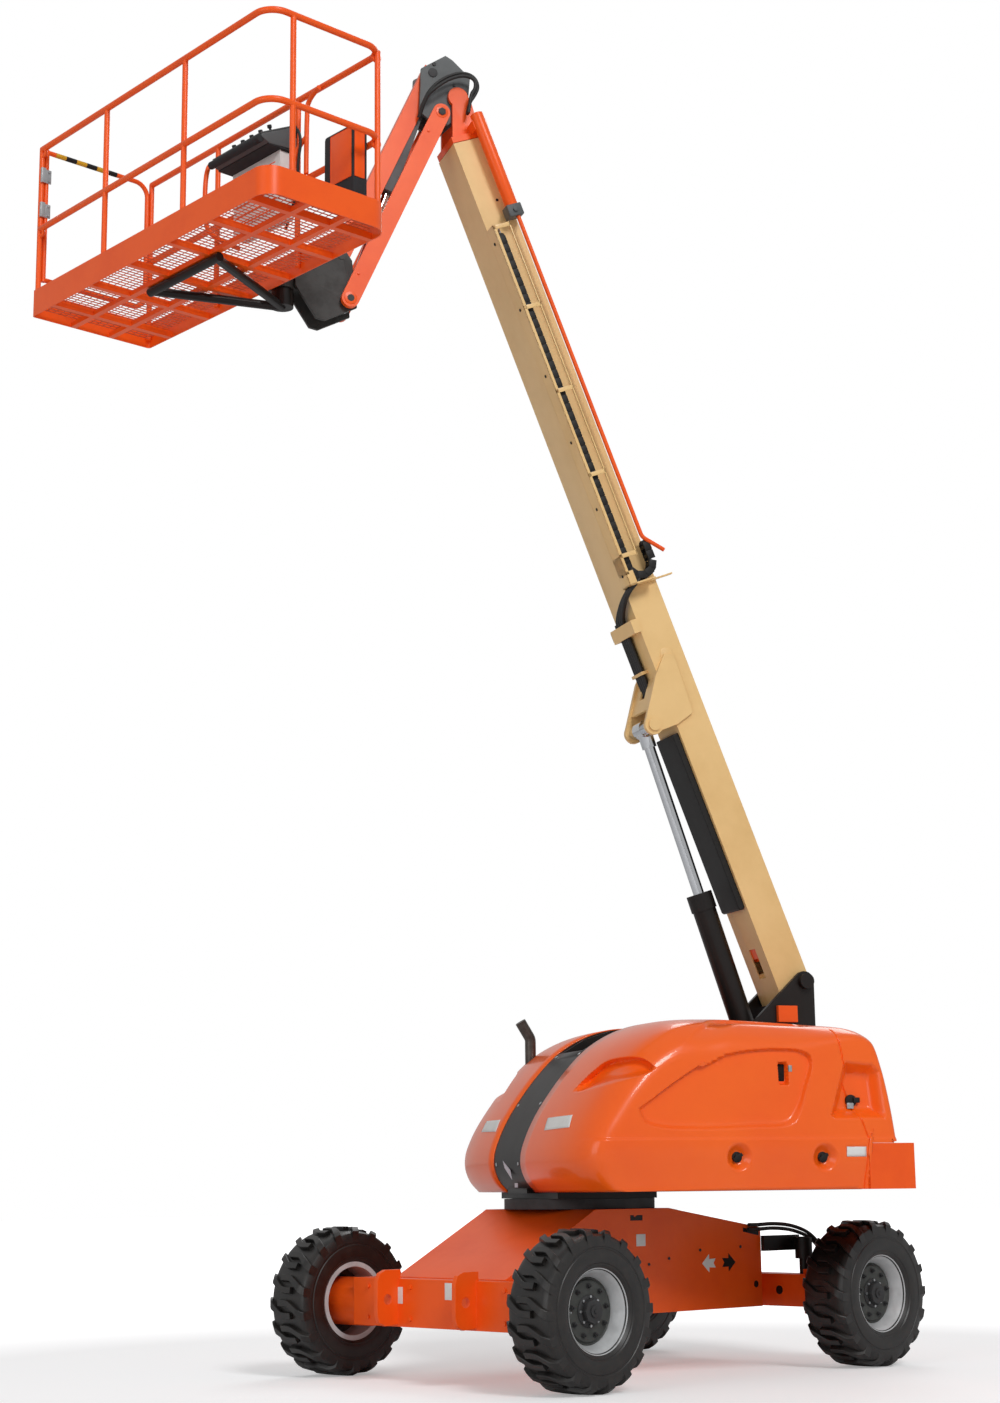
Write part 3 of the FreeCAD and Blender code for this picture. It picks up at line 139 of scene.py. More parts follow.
# surface, tone, relief, then what the shader needs besides
finishSheet = {
    # gel-coated moulded hoods: wet gloss with a faint waviness
    "gelcoatOrange": (("#FF6815", 0.3), ("#F5560F", 900, 0.5), (90, 0.25),
        {"coat": 0.4, "coatRoughness": 0.07, "specular": 0.3}),
    # powder coat on welded steel: slight orange peel, softer gloss
    "powderOrange": (("#FD5F13", 0.38), ("#EC4D0F", 420, 0.55), (5, 0.1),
        {"coat": 0.15, "coatRoughness": 0.2, "specular": 0.3}),
    # cream enamel sprayed over rolled boom plate: satin, a little uneven along the plate
    "creamEnamel": (("#EFC88A", 0.4), ("#DDB373", 520, 0.6), (6, 0.1), {"coat": 0.15, "coatRoughness": 0.22,
        "specular": 0.3}),
    # black satin paint on the riser and axle parts, dulled by dust
    "satinBlack": (("#140F0D", 0.42), ("#241D19", 260, 0.6), (5, 0.1), {"coat": 0.05, "specular": 0.3}),
    # dark grey powder coat on cast and plate brackets
    "bracketGrey": (("#5A5D5E", 0.45), ("#4A4C4D", 160, 0.6), (3, 0.12), {"specular": 0.3}),
    # tyre rubber: matt, slightly brown with dust
    "treadRubber": (("#0E0C0B", 0.42), ("#2B2520", 60, 0.55), (2.5, 0.25), {"specular": 0.6}),
    # silver enamel on the rolled rims
    "silverEnamel": (("#C6C8C9", 0.3), ("#A4A6A7", 90, 0.6), (3, 0.08), {"coat": 0.15}),
    # the same enamel darkened on the deep-set discs: painted shade of their recess
    "recessShadeSilver": (("#3F413E", 0.5), ("#2B2C29", 70, 0.7), (3, 0.12), {}),
    # mild steel pipe browned by heat
    "scorchedSteel": (("#57514C", 0.35), ("#2C2320", 50, 0.7), (3, 0.1), {"metallic": 0.7}),
    # moulded red acrylic, clear enough to glow
    "redLens": (("#B3161A", 0.15), ("#8C1014", 30, 0.4), (4, 0.2), {"coat": 0.4}),
    # yellow polythene sleeve
    "signalYellow": (("#D9A514", 0.45), ("#C08F10", 60, 0.6), (2, 0.1), {}),
    # dark olive-black iron of the jib's foot
    "jibIron": (("#3B3A38", 0.5), ("#262321", 90, 0.7), (3, 0.2), {"specular": 0.3}),
    # hard chrome on the ram: mirror bright with faint drag marks
    "hardChrome": (("#D5D7DA", 0.13), ("#BFC2C6", 60, 0.4), (2, 0.02), {"metallic": 1.0}),
    # moulded black ABS
    "blackAbs": (("#161514", 0.5), ("#232120", 110, 0.5), (1.5, 0.12), {"specular": 0.3}),
    # rubber hose cover, wrapped finish
    "hoseRubber": (("#151413", 0.55), ("#242120", 60, 0.5), (2, 0.1), {}),
    # sand-cast iron, rough and dark
    "castIron": (("#3A3A3B", 0.62), ("#2C2B2B", 80, 0.6), (3, 0.35), {"metallic": 0.3}),
    # zinc-plated fasteners and hinges
    "zincPlate": (("#B9BBBD", 0.32), ("#97999B", 30, 0.6), (1.5, 0.05), {"metallic": 0.85}),
    # painted expanded steel under foot, scuffed
    "meshSteel": (("#D9582A", 0.5), ("#A8401E", 70, 0.7), (2, 0.2), {}),
    # blank white vinyl plates
    "whiteVinyl": (("#E6E6E3", 0.4), ("#D3D3CF", 60, 0.5), (2, 0.03), {}),
    # prismatic marker tape: pale grey squares
    "markerTape": (("#C9C6CF", 0.3), ("#B3AFBB", 12, 0.8), (4, 0.05), {}),
    # black foam over the control panel
    "foamBlack": (("#242527", 0.85), ("#34363A", 18, 0.6), (2, 0.5), {}),
    # deep shade inside holes and recesses
    "darkHole": (("#0B0A0A", 0.9), ("#050505", 60, 0.4), (3, 0.1), {}),
}
finishes = {name: newFinish(name, *row[:3], **row[3]) for name, row in finishSheet.items()}
print("finishes made")


# mesh helpers

def linkMesh(name, mesh, finish, sharp=35):
    piece = bpy.data.objects.new(name, mesh)
    bpy.context.scene.collection.objects.link(piece)
    if finish:
        mesh.materials.clear()
        mesh.materials.append(finishes[finish])
    for face in mesh.polygons:
        face.use_smooth = True
    mesh.set_sharp_from_angle(angle=math.radians(sharp))
    return piece


def meshOf(shape, name, place=Matrix()):
    mesh = bpy.data.meshes.new(name)
    shape.to_mesh(mesh)
    shape.free()
    mesh.transform(place)
    return mesh


def meshFrom(name, build, finish, place=Matrix(), sharp=35):
    # build fills a bmesh in a local frame; place puts it into the machine's frame
    shape = bmesh.new()
    build(shape)
    bmesh.ops.remove_doubles(shape, verts=shape.verts, dist=1e-6)
    bmesh.ops.recalc_face_normals(shape, faces=shape.faces)
    return linkMesh(name, meshOf(shape, name, place), finish, sharp)


def fit(name, build, finish, body, place=Matrix()):
    # a built piece that rides on a body
    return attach(meshFrom(name, build, finish, place), body)


def applied(piece):
    # bakes the modifiers into a plain mesh
    view = bpy.context.evaluated_depsgraph_get()
    mesh = bpy.data.meshes.new_from_object(piece.evaluated_get(view), preserve_all_data_layers=True,
        depsgraph=view)
    piece.modifiers.clear()
    piece.data = mesh
    return piece


def thickened(piece, thickness, offset=-1):
    wall = piece.modifiers.new("wall", "SOLIDIFY")
    wall.thickness = thickness
    wall.offset = offset
    return applied(piece)


def eased(shape, edges, bevel):
    bmesh.ops.bevel(shape, geom=list(edges), offset=bevel, segments=2, affect="EDGES", profile=0.6)


def addBox(shape, low, high, bevel=0.0, turn=None):
    size = [h - l for l, h in zip(low, high)]
    middle = [(h + l) / 2 for l, h in zip(low, high)]
    place = Matrix.Translation(middle) @ (turn or Matrix()) @ Matrix.Diagonal((*size, 1))
    made = bmesh.ops.create_cube(shape, size=1, matrix=place)["verts"]
    if bevel:
        eased(shape, {edge for vert in made for edge in vert.link_edges}, bevel)


def addRound(shape, start, end, radius, sides=24, endRadius=None, bevel=0.0):
    start, end = Vector(start), Vector(end)
    along = end - start
    place = Matrix.Translation((start + end) / 2) @ along.to_track_quat("Z", "Y").to_matrix().to_4x4()
    made = bmesh.ops.create_cone(shape, cap_ends=True, segments=sides, radius1=radius, radius2=radius
        if endRadius is None else endRadius, depth=along.length, matrix=place)["verts"]
    if bevel:
        eased(shape, {edge for vert in made for edge in vert.link_edges if len(edge.link_faces) == 2
            and any(len(face.verts) > 4 for face in edge.link_faces)}, bevel)


def addPlate(shape, outline, low, high, bevel=0.0, axis="Y"):
    # a flat plate from an outline in the plane square to axis, between two offsets
    order = {"Y": lambda a, b, c: (a, c, b), "Z": lambda a, b, c: (a, b, c), "X": lambda a, b,
        c: (c, a, b)}[axis]
    near = [shape.verts.new(order(a, b, low)) for a, b in outline]
    far = [shape.verts.new(order(a, b, high)) for a, b in outline]
    shape.faces.new(near)
    shape.faces.new(list(reversed(far)))
    count = len(outline)
    for i in range(count):
        shape.faces.new([near[i], far[i], far[(i + 1) % count], near[(i + 1) % count]])
    if bevel:
        eased(shape, {edge for vert in near + far for edge in vert.link_edges}, bevel)


def addTurned(shape, profile, segments=64, axis="Y", centre=(0, 0, 0)):
    # profile: (distance from the axis, place along it), closed on itself
    rings = []
    for step in range(segments):
        angle = 2 * math.pi * step / segments
        ring = []
        for radius, along in profile:
            a, b = radius * math.cos(angle), radius * math.sin(angle)
            spot = {"Y": (a, along, b), "Z": (a, b, along), "X": (along, a, b)}[axis]
            ring.append(shape.verts.new(Vector(spot) + Vector(centre)))
        rings.append(ring)
    count = len(profile)
    for i in range(segments):
        for j in range(count):
            shape.faces.new([rings[i][j], rings[i][(j + 1) % count],
                rings[(i + 1) % segments][(j + 1) % count], rings[(i + 1) % segments][j]])


def curveTube(name, points, radius, finish, place=Matrix(), smooth=True, sides=4, cyclic=False):
    # a hose or bent bar along points, made a mesh
    curve = bpy.data.curves.new(name, "CURVE")
    curve.dimensions = "3D"
    curve.bevel_depth = radius
    curve.bevel_resolution = sides
    curve.use_fill_caps = True
    spline = curve.splines.new("NURBS" if smooth else "POLY")
    spline.points.add(len(points) - 1)
    for spot, point in zip(spline.points, points):
        spot.co = (*point, 1)
    if smooth:
        spline.order_u = 3
        spline.use_endpoint_u = not cyclic
        spline.resolution_u = 10
    spline.use_cyclic_u = cyclic
    holder = bpy.data.objects.new(name, curve)
    bpy.context.scene.collection.objects.link(holder)
    view = bpy.context.evaluated_depsgraph_get()
    mesh = bpy.data.meshes.new_from_object(holder.evaluated_get(view))
    bpy.data.objects.remove(holder)
    mesh.transform(place)
    mesh.name = name
    return linkMesh(name, mesh, finish, 50)


def softened(node, finish, bevel, sharp=40):
    # the CAD piece with its edges eased as welded plate is, standing for the node
    mesh = nodes[node].data.copy()
    shape = bmesh.new()
    shape.from_mesh(mesh)
    bmesh.ops.remove_doubles(shape, verts=shape.verts, dist=2e-5)
    bmesh.ops.dissolve_limit(shape, angle_limit=math.radians(1.0), verts=shape.verts, edges=shape.edges)
    shape.to_mesh(mesh)
    shape.free()
    piece = linkMesh(node + "Skin", mesh, finish, sharp)
    ease = piece.modifiers.new("ease", "BEVEL")
    ease.width = bevel
    ease.segments = 2
    ease.limit_method = "ANGLE"
    ease.angle_limit = math.radians(sharp)
    ease.harden_normals = True
    applied(piece)
    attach(piece, nodes[node]["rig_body"])
    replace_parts(piece, node)
    return piece


# camera, light and floor

view = {"distance": 13.8098, "bearing": 0.7804, "height": 1.06997, "yaw": 0.031366, "pitch": 0.206645,
    "roll": -0.010854, "lens": 59.07}
spot = Vector((view["distance"] * math.cos(view["bearing"]), view["distance"] * math.sin(view["bearing"]),
    view["height"]))
heading = view["bearing"] + math.pi + view["yaw"]
forward = Vector((math.cos(heading) * math.cos(view["pitch"]), math.sin(heading) * math.cos(view["pitch"]),
    math.sin(view["pitch"])))
level = forward.cross(Vector((0, 0, 1))).normalized()
upright = level.cross(forward)
right = level * math.cos(view["roll"]) + upright * math.sin(view["roll"])
up = upright * math.cos(view["roll"]) - level * math.sin(view["roll"])
camera = bpy.data.objects.new("camera", bpy.data.cameras.new("camera"))
camera.data.lens = view["lens"]
camera.data.sensor_width = 36
camera.data.clip_end = 200
turn = Matrix((right, up, -forward)).transposed().to_4x4()
camera.matrix_world = Matrix.Translation(spot) @ turn
bpy.context.scene.collection.objects.link(camera)
bpy.context.scene.camera = camera
bpy.context.scene.view_settings.view_transform = "Standard"

lamps = {"key": ((10.5, 29.0, 26.0), 10.0, 6100), "fill": ((31.0, 4.5, 10.0), 16.0, 1500),
    "rim": ((-20.0, -13.0, 24.0), 13.0, 1700)}
for name, (place, size, power) in lamps.items():
    lamp = bpy.data.objects.new(name, bpy.data.lights.new(name, "AREA"))
    lamp.data.size = size
    lamp.data.energy = power
    lamp.location = place
    lamp.rotation_euler = (Vector((0, 0, 3.2)) - Vector(place)).to_track_quat("-Z", "Y").to_euler()
    bpy.context.scene.collection.objects.link(lamp)

world = bpy.data.worlds.new("studio")
bpy.context.scene.world = world
world.use_nodes = True
sky = world.node_tree
seen = addNode(sky, "ShaderNodeLightPath")
glossy = addNode(sky, "ShaderNodeMath", {"operation": "MAXIMUM"})
sky.links.new(seen.outputs["Is Camera Ray"], glossy.inputs[0])
dimmed = addNode(sky, "ShaderNodeMath", {"operation": "MULTIPLY"})
dimmed.inputs[1].default_value = 0.35
sky.links.new(seen.outputs["Is Glossy Ray"], dimmed.inputs[0])
sky.links.new(dimmed.outputs["Value"], glossy.inputs[1])
strength = addNode(sky, "ShaderNodeMapRange", {"To Min": 0.3, "To Max": 1.0},
    {"Value": glossy.outputs["Value"]})
backdrop = sky.nodes["Background"]
backdrop.inputs["Color"].default_value = (1, 1, 1, 1)
sky.links.new(strength.outputs["Result"], backdrop.inputs["Strength"])


def floorPiece(shape):
    bmesh.ops.create_grid(shape, x_segments=1, y_segments=1, size=60)


floor = meshFrom("floor", floorPiece, None)
ground = bpy.data.materials.new("paleFloor")
ground.use_nodes = True
groundTree = ground.node_tree
groundShader = groundTree.nodes["Principled BSDF"]
groundShader.inputs["Base Color"].default_value = (0.86, 0.86, 0.87, 1)
groundShader.inputs["Roughness"].default_value = 0.85
groundShader.inputs["Specular IOR Level"].default_value = 0.1
groundShader.inputs["Emission Color"].default_value = (1, 1, 1, 1)
# the camera sees the floor lift to white with distance, so no horizon shows
place = addNode(groundTree, "ShaderNodeNewGeometry")
away = addNode(groundTree, "ShaderNodeVectorMath", {"operation": "LENGTH"},
    {"Vector": place.outputs["Position"]})
lift = addNode(groundTree, "ShaderNodeMapRange", {"From Min": 4.0, "From Max": 9.0, "To Min": 0.3,
    "To Max": 1.0}, {"Value": away.outputs["Value"]})
direct = addNode(groundTree, "ShaderNodeLightPath")
glow = addNode(groundTree, "ShaderNodeMath", {"operation": "MULTIPLY"})
groundTree.links.new(lift.outputs["Result"], glow.inputs[0])
groundTree.links.new(direct.outputs["Is Camera Ray"], glow.inputs[1])
groundTree.links.new(glow.outputs["Value"], groundShader.inputs["Emission Strength"])
floor.data.materials.append(ground)
print("camera and light set")


# repeats: one tree lays copies of a shape in a row or a ring

repeatTree = bpy.data.node_groups.new("repeats", "GeometryNodeTree")
for name, kind, way in (("Shape", "NodeSocketGeometry", "INPUT"), ("Count", "NodeSocketInt", "INPUT"),
        ("Move Step", "NodeSocketVector", "INPUT"), ("Turn Step", "NodeSocketVector", "INPUT"),
        ("Finish", "NodeSocketMaterial", "INPUT"), ("Copies", "NodeSocketGeometry", "OUTPUT")):
    repeatTree.interface.new_socket(name, in_out=way, socket_type=kind)
enter = addNode(repeatTree, "NodeGroupInput")
leave = addNode(repeatTree, "NodeGroupOutput")
number = addNode(repeatTree, "GeometryNodeInputIndex")
spots = addNode(repeatTree, "GeometryNodePoints", {}, {"Count": enter.outputs["Count"]})
moved = addNode(repeatTree, "ShaderNodeVectorMath", {"operation": "SCALE"},
    {"Vector": enter.outputs["Move Step"], "Scale": number.outputs["Index"]})
turned = addNode(repeatTree, "ShaderNodeVectorMath", {"operation": "SCALE"},
    {"Vector": enter.outputs["Turn Step"], "Scale": number.outputs["Index"]})
placed = addNode(repeatTree, "GeometryNodeSetPosition", {}, {"Geometry": spots.outputs[0],
    "Position": moved.outputs["Vector"]})
copies = addNode(repeatTree, "GeometryNodeInstanceOnPoints", {}, {"Points": placed.outputs["Geometry"],
    "Instance": enter.outputs["Shape"], "Rotation": turned.outputs["Vector"]})
whole = addNode(repeatTree, "GeometryNodeRealizeInstances", {}, {"Geometry": copies.outputs["Instances"]})
finished = addNode(repeatTree, "GeometryNodeSetMaterial", {}, {"Geometry": whole.outputs["Geometry"],
    "Material": enter.outputs["Finish"]})
repeatTree.links.new(finished.outputs["Geometry"], leave.inputs["Copies"])


def repeated(piece, count, move=(0, 0, 0), turn=(0, 0, 0)):
    # turn in degrees; the copies become one plain mesh
    layer = piece.modifiers.new("repeats", "NODES")
    layer.node_group = repeatTree
    values = {"Count": count, "Move Step": move, "Turn Step": [math.radians(a) for a in turn],
        "Finish": piece.data.materials[0]}
    for item in repeatTree.interface.items_tree:
        if item.in_out == "INPUT" and item.name in values:
            layer[item.identifier] = values[item.name]
    piece.update_tag()
    return applied(piece)


def settle(piece, body, place=Matrix()):
    piece.data.transform(place)
    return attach(piece, body)


# hoods, named by the side they stand on

sideWord = {1: "Left", -1: "Right"}
hoodBody = {1: "hood_left", -1: "hood_right"}
facingOut = {1: Matrix(), -1: Matrix.Rotation(math.pi, 4, "Z")}

hoodSizes = {
    "line": [(368, 1022), (425, 1085), (456, 1165), (455, 1240), (426, 1330), (372, 1440), (299, 1551),
        (180, 1702), (43, 1835), (-110, 1925), (-280, 1978), (-520, 1992), (-800, 1985), (-1100, 1965),
        (-1300, 1942), (-1392, 1905), (-1448, 1850), (-1496, 1700), (-1532, 1500), (-1556, 1290)],
    "base": [(151, 1022), (-1330, 1022), (-1330, 1276), (-1490, 1276)], "nearInner": 0.262,
    "farInner": 0.212, "outer": 1.1, "wall": 0.008, "stations": 170, "across": 26, "down": 34,
}
hoodMarks = {
    # on the side face, in the turntable's plane: along, up
    "teardrop": [(.06, 1.468), (-.03, 1.522), (-.181, 1.62), (-.334, 1.708), (-.488, 1.764), (-.673, 1.793),
        (-.827, 1.8), (-.951, 1.79), (-1.006, 1.757), (-1.01, 1.701), (-.96, 1.568), (-.925, 1.458),
        (-.885, 1.392), (-.81, 1.364), (-.656, 1.359), (-.293, 1.349), (-.055, 1.361), (.033, 1.393)],
    "slot": [(-.812, 1.61), (-.822, 1.597), (-.868, 1.597), (-.876, 1.61), (-.874, 1.712), (-.862, 1.723),
        (-.822, 1.723), (-.812, 1.712)],
    "recess": [(-1.205, 1.716), (-1.226, 1.738), (-1.4, 1.722), (-1.446, 1.68), (-1.462, 1.44),
        (-1.448, 1.406), (-1.13, 1.402), (-1.1, 1.424)],
    "strip": [(-1.184, 1.2), (-1.192, 1.192), (-1.314, 1.192), (-1.322, 1.2), (-1.322, 1.256),
        (-1.314, 1.264), (-1.192, 1.264), (-1.184, 1.256)],
    "dishes": [(-.529, 1.202), (-1.056, 1.199)], "dishRadius": 0.084,
    "seam": [(-1.15, 1.975), (-1.182, 1.904), (-1.226, 1.625), (-1.336, 1.291), (-1.298, 1.016)],
    "crease": 1.3, "sideStart": 0.97, "topStart": 1.72,
    # the scoop round the front corner: a lid edge and a shelf edge, along the corner and up
    "scoopAcross": (-0.585, 0.811),
    "scoopTop": [(.345, 1.57), (.4, 1.628), (.47, 1.692), (.54, 1.738), (.69, 1.757), (.85, 1.742),
        (.925, 1.69)],
    "scoopLow": [(.345, 1.566), (.42, 1.566), (.6, 1.585), (.76, 1.612), (.86, 1.64), (.925, 1.68)],
    # the raised top's edge in plan, from the corner back
    "ridge": [(-.15, 1.095), (-.26, 1.071), (-.346, 1.01), (-.52, .8), (-.65, .76), (-1.1, .76)],
}


def splinePoints(points, count):
    # a centripetal curve through the points, resampled at even steps along it
    ends = [2 * Vector(points[0]) - Vector(points[1])] + [Vector(p) for p in points]
    ends.append(2 * Vector(points[-1]) - Vector(points[-2]))
    fine = []
    for a, b, c, d in zip(ends, ends[1:], ends[2:], ends[3:]):
        t = [0.0]
        for p, q in ((a, b), (b, c), (c, d)):
            t.append(t[-1] + max((q - p).length, 1e-9) ** 0.5)
        for step in range(16):
            at = t[1] + (t[2] - t[1]) * step / 16
            ab = a.lerp(b, (at - t[0]) / (t[1] - t[0]))
            bc = b.lerp(c, (at - t[1]) / (t[2] - t[1]))
            cd = c.lerp(d, (at - t[2]) / (t[3] - t[2]))
            abc = ab.lerp(bc, (at - t[0]) / (t[2] - t[0]))
            bcd = bc.lerp(cd, (at - t[1]) / (t[3] - t[1]))
            fine.append(abc.lerp(bcd, (at - t[1]) / (t[2] - t[1])))
    fine.append(ends[-2])
    return evenly(fine, count)


def evenly(points, count, closed=False):
    points = [Vector(p) for p in points]
    if closed:
        points.append(points[0])
    reach = [0.0]
    for p, q in zip(points, points[1:]):
        reach.append(reach[-1] + (q - p).length)
    result, at = [], 0
    for i in range(count):
        goal = reach[-1] * i / (count if closed else count - 1)
        while at < len(reach) - 2 and reach[at + 1] < goal:
            at += 1
        span = reach[at + 1] - reach[at]
        result.append(points[at].lerp(points[at + 1], (goal - reach[at]) / span if span else 0))
    return result


def smoothStep(value, low, high):
    t = min(max((value - low) / (high - low), 0.0), 1.0)
    return t * t * (3 - 2 * t)


def edgeDistance(x, z, outline, closed=True):
    # distance to the outline, negative inside it when it is closed
    best, inside = 1e9, False
    count = len(outline)
    for i in range(count if closed else count - 1):
        (x0, z0), (x1, z1) = outline[i], outline[(i + 1) % count]
        dx, dz = x1 - x0, z1 - z0
        t = min(max(((x - x0) * dx + (z - z0) * dz) / (dx * dx + dz * dz), 0.0), 1.0)
        best = min(best, math.hypot(x - x0 - t * dx, z - z0 - t * dz))
        if closed and (z0 > z) != (z1 > z) and x < x0 + (z - z0) / (z1 - z0) * (x1 - x0):
            inside = not inside
    return -best if inside else best


teardrop = [tuple(p) for p in splinePoints(hoodMarks["teardrop"] + hoodMarks["teardrop"][:1], 90)[:-1]]
scoopTop = [tuple(p) for p in splinePoints(hoodMarks["scoopTop"], 24)]
scoopLow = [tuple(p) for p in splinePoints(hoodMarks["scoopLow"], 24)]
scoopRing = scoopTop + scoopLow[::-1]
ridge = [tuple(p) for p in splinePoints(hoodMarks["ridge"], 30)]


def heightAt(line, across):
    for (x0, z0), (x1, z1) in zip(line, line[1:]):
        if x0 <= across <= x1:
            return z0 + (z1 - z0) * (across - x0) / (x1 - x0)
    return None


pressDepths = {"teardrop": 0.03, "slot": 0.04, "recess": 0.085, "strip": 0.006, "dish": 0.04, "seam": 0.009,
    "scoop": 0.06, "ridge": 0.02}


def sideSink(x, z):
    # how far the moulded side is pressed in at a place on it
    near = edgeDistance(x, z, teardrop)
    upper = smoothStep(z, 1.4, 1.56)
    sink = pressDepths["teardrop"] * (1 - smoothStep(near, -0.034 + 0.026 * upper, 0.004))
    sink += pressDepths["slot"] * (1 - smoothStep(edgeDistance(x, z, hoodMarks["slot"]), -0.008, 0.001))
    deep = 1 - smoothStep(edgeDistance(x, z, hoodMarks["recess"]), -0.075, 0.004)
    sink += pressDepths["recess"] * deep
    sink += pressDepths["strip"] * (1 - smoothStep(edgeDistance(x, z, hoodMarks["strip"]), -0.008, 0.0))
    for cx, cz in hoodMarks["dishes"]:
        away = math.hypot(x - cx, z - cz)
        sink += pressDepths["dish"] * (1 - smoothStep(away, 0.03, hoodMarks["dishRadius"]))
    seam = edgeDistance(x, z, hoodMarks["seam"], False)
    sink += pressDepths["seam"] * (1 - smoothStep(seam, 0.002, 0.006))
    return sink


def hoodSection(share):
    # depth of the shoulder round and its fullness, along the line from the front foot
    depth = 0.217 + (0.27 - 0.217) * smoothStep(share, 0.22, 0.5)
    depth += (0.075 - 0.27) * smoothStep(share, 0.6, 0.82)
    return depth, 2.6 + 0.8 * smoothStep(share, 0.25, 0.45)


def sideLean(z):
    # the side leans in from a crease, and the band under it stands proud and tucks in at the sill
    crease = hoodMarks["crease"]
    lean = 0.008 * smoothStep(z, crease - 0.006, crease + 0.012) + 0.075 * max(z - crease, 0)
    return lean + 0.02 * (1 - smoothStep(z, 1.04, crease - 0.03))


def pressed(spot):
    # the moulded forms, as a move of a point of the plain shell
    u, v, z = spot
    if v > 0.6:
        share = smoothStep(v, 0.9, 1.075)
        spot.y -= share * sideLean(z)
        if v > hoodMarks["sideStart"]:
            spot.y -= smoothStep(v, hoodMarks["sideStart"], 1.05) * sideSink(u, z)
    e = hoodMarks["scoopAcross"][0] * u + hoodMarks["scoopAcross"][1] * v
    if v > 0.45 and u > -0.2 and scoopTop[0][0] < e < scoopTop[-1][0]:
        top, low = heightAt(scoopTop, e), heightAt(scoopLow, e)
        if low < z < top:
            fall = (top - z) / max(top - low, 0.01)
            ends = smoothStep(e, scoopTop[0][0], scoopTop[0][0] + 0.1)
            ends *= 1 - smoothStep(e, scoopTop[-1][0] - 0.06, scoopTop[-1][0])
            depth = pressDepths["scoop"] * ends * smoothStep(fall, 0.0, 0.14)
            depth *= 1 - smoothStep(fall, 0.55, 1.0)
            spot.x -= depth * hoodMarks["scoopAcross"][1]
            spot.y += depth * hoodMarks["scoopAcross"][0]
    if u < -0.1 and z > hoodMarks["topStart"] and v > 0.5:
        away = edgeDistance(u, v, ridge, False)
        beyond = heightAt([(x, y) for x, y in ridge[::-1]], u)
        if beyond is not None and v > beyond:
            fade = smoothStep(-u, 0.16, 0.42) * (1 - smoothStep(-u, 1.02, 1.1))
            drop = pressDepths["ridge"] * fade * smoothStep(away, 0.0, 0.016)
            spot.z -= drop * (1 - smoothStep(away, 0.06, 0.19))
    return spot


def nearMark(u, v, z, reach):
    if v > hoodMarks["sideStart"]:
        if abs(edgeDistance(u, z, teardrop)) < reach:
            return True
        if any(abs(edgeDistance(u, z, hoodMarks[mark])) < reach for mark in ("slot", "recess", "strip")):
            return True
        if any(math.hypot(u - cx, z - cz) < 0.088 + reach for cx, cz in hoodMarks["dishes"]):
            return True
        if abs(z - hoodMarks["crease"]) < reach or edgeDistance(u, z, hoodMarks["seam"], False) < reach:
            return True
    if u > -0.2 and v > 0.45 and 1.5 < z < 1.8:
        e = hoodMarks["scoopAcross"][0] * u + hoodMarks["scoopAcross"][1] * v
        if abs(edgeDistance(e, z, scoopRing)) < reach:
            return True
    return u < -0.1 and z > hoodMarks["topStart"] and v > 0.5 and edgeDistance(u, v, ridge, False) < reach


def buildHood(shape, inner):
    line = splinePoints([(x / 1000, z / 1000) for x, z in hoodSizes["line"]], hoodSizes["stations"])
    base = evenly([(x / 1000, z / 1000) for x, z in hoodSizes["base"]], hoodSizes["stations"])
    width = hoodSizes["outer"] - inner
    rows = []
    for i, here in enumerate(line):
        ahead = line[min(i + 1, len(line) - 1)] - line[max(i - 1, 0)]
        level = 1 - smoothStep(here.y, 1.22, 1.62) if here.x > 0 else 0
        inward = Vector((-ahead.y, ahead.x)).normalized().lerp(Vector((-1, 0)), level).normalized()
        depth, fullness = hoodSection(i / (len(line) - 1))
        row = []
        for j in range(hoodSizes["across"] + 1):
            swing = (j / hoodSizes["across"]) * math.pi / 2
            over = math.sin(swing) ** (2 / fullness)
            fall = depth * (1 - math.cos(swing) ** (2 / fullness))
            spot = here + inward * fall
            row.append([spot.x, inner + width * over, spot.y])
        corner = here + inward * depth
        for j in range(1, hoodSizes["down"] + 1):
            spot = corner.lerp(base[i], j / hoodSizes["down"])
            row.append([spot.x, inner + width, spot.y])
        rows.append([shape.verts.new(p) for p in row])
    for a, b in zip(rows, rows[1:]):
        for j in range(len(a) - 1):
            shape.faces.new((a[j], b[j], b[j + 1], a[j + 1]))
    bmesh.ops.remove_doubles(shape, verts=shape.verts, dist=0.0008)
    for reach in (0.026, 0.013):
        chosen = set()
        for vert in shape.verts:
            if nearMark(*vert.co, reach):
                for face in vert.link_faces:
                    chosen.update(edge for edge in face.edges if edge.calc_length() > 0.004)
        bmesh.ops.subdivide_edges(shape, edges=list(chosen), cuts=1, use_grid_fill=True)
    for vert in shape.verts:
        vert.co = pressed(vert.co.copy())


def hoodPiece(side, name):
    shape = bmesh.new()
    buildHood(shape, hoodSizes["nearInner" if side > 0 else "farInner"])
    if side < 0:
        for vert in shape.verts:
            vert.co.y = -vert.co.y
    bmesh.ops.recalc_face_normals(shape, faces=shape.faces)
    facing = sum((face.normal.z * face.calc_area() for face in shape.faces), 0.0)
    if facing < 0:
        bmesh.ops.reverse_faces(shape, faces=shape.faces)
    piece = linkMesh(name, meshOf(shape, name, turntableFrame), "gelcoatOrange", 38)
    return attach(thickened(piece, hoodSizes["wall"]), hoodBody[side])


hoodShells = {side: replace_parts(hoodPiece(side, f"hood{sideWord[side]}Shell"), hoodBody[side])
    for side in (1, -1)}
print("hoods moulded")


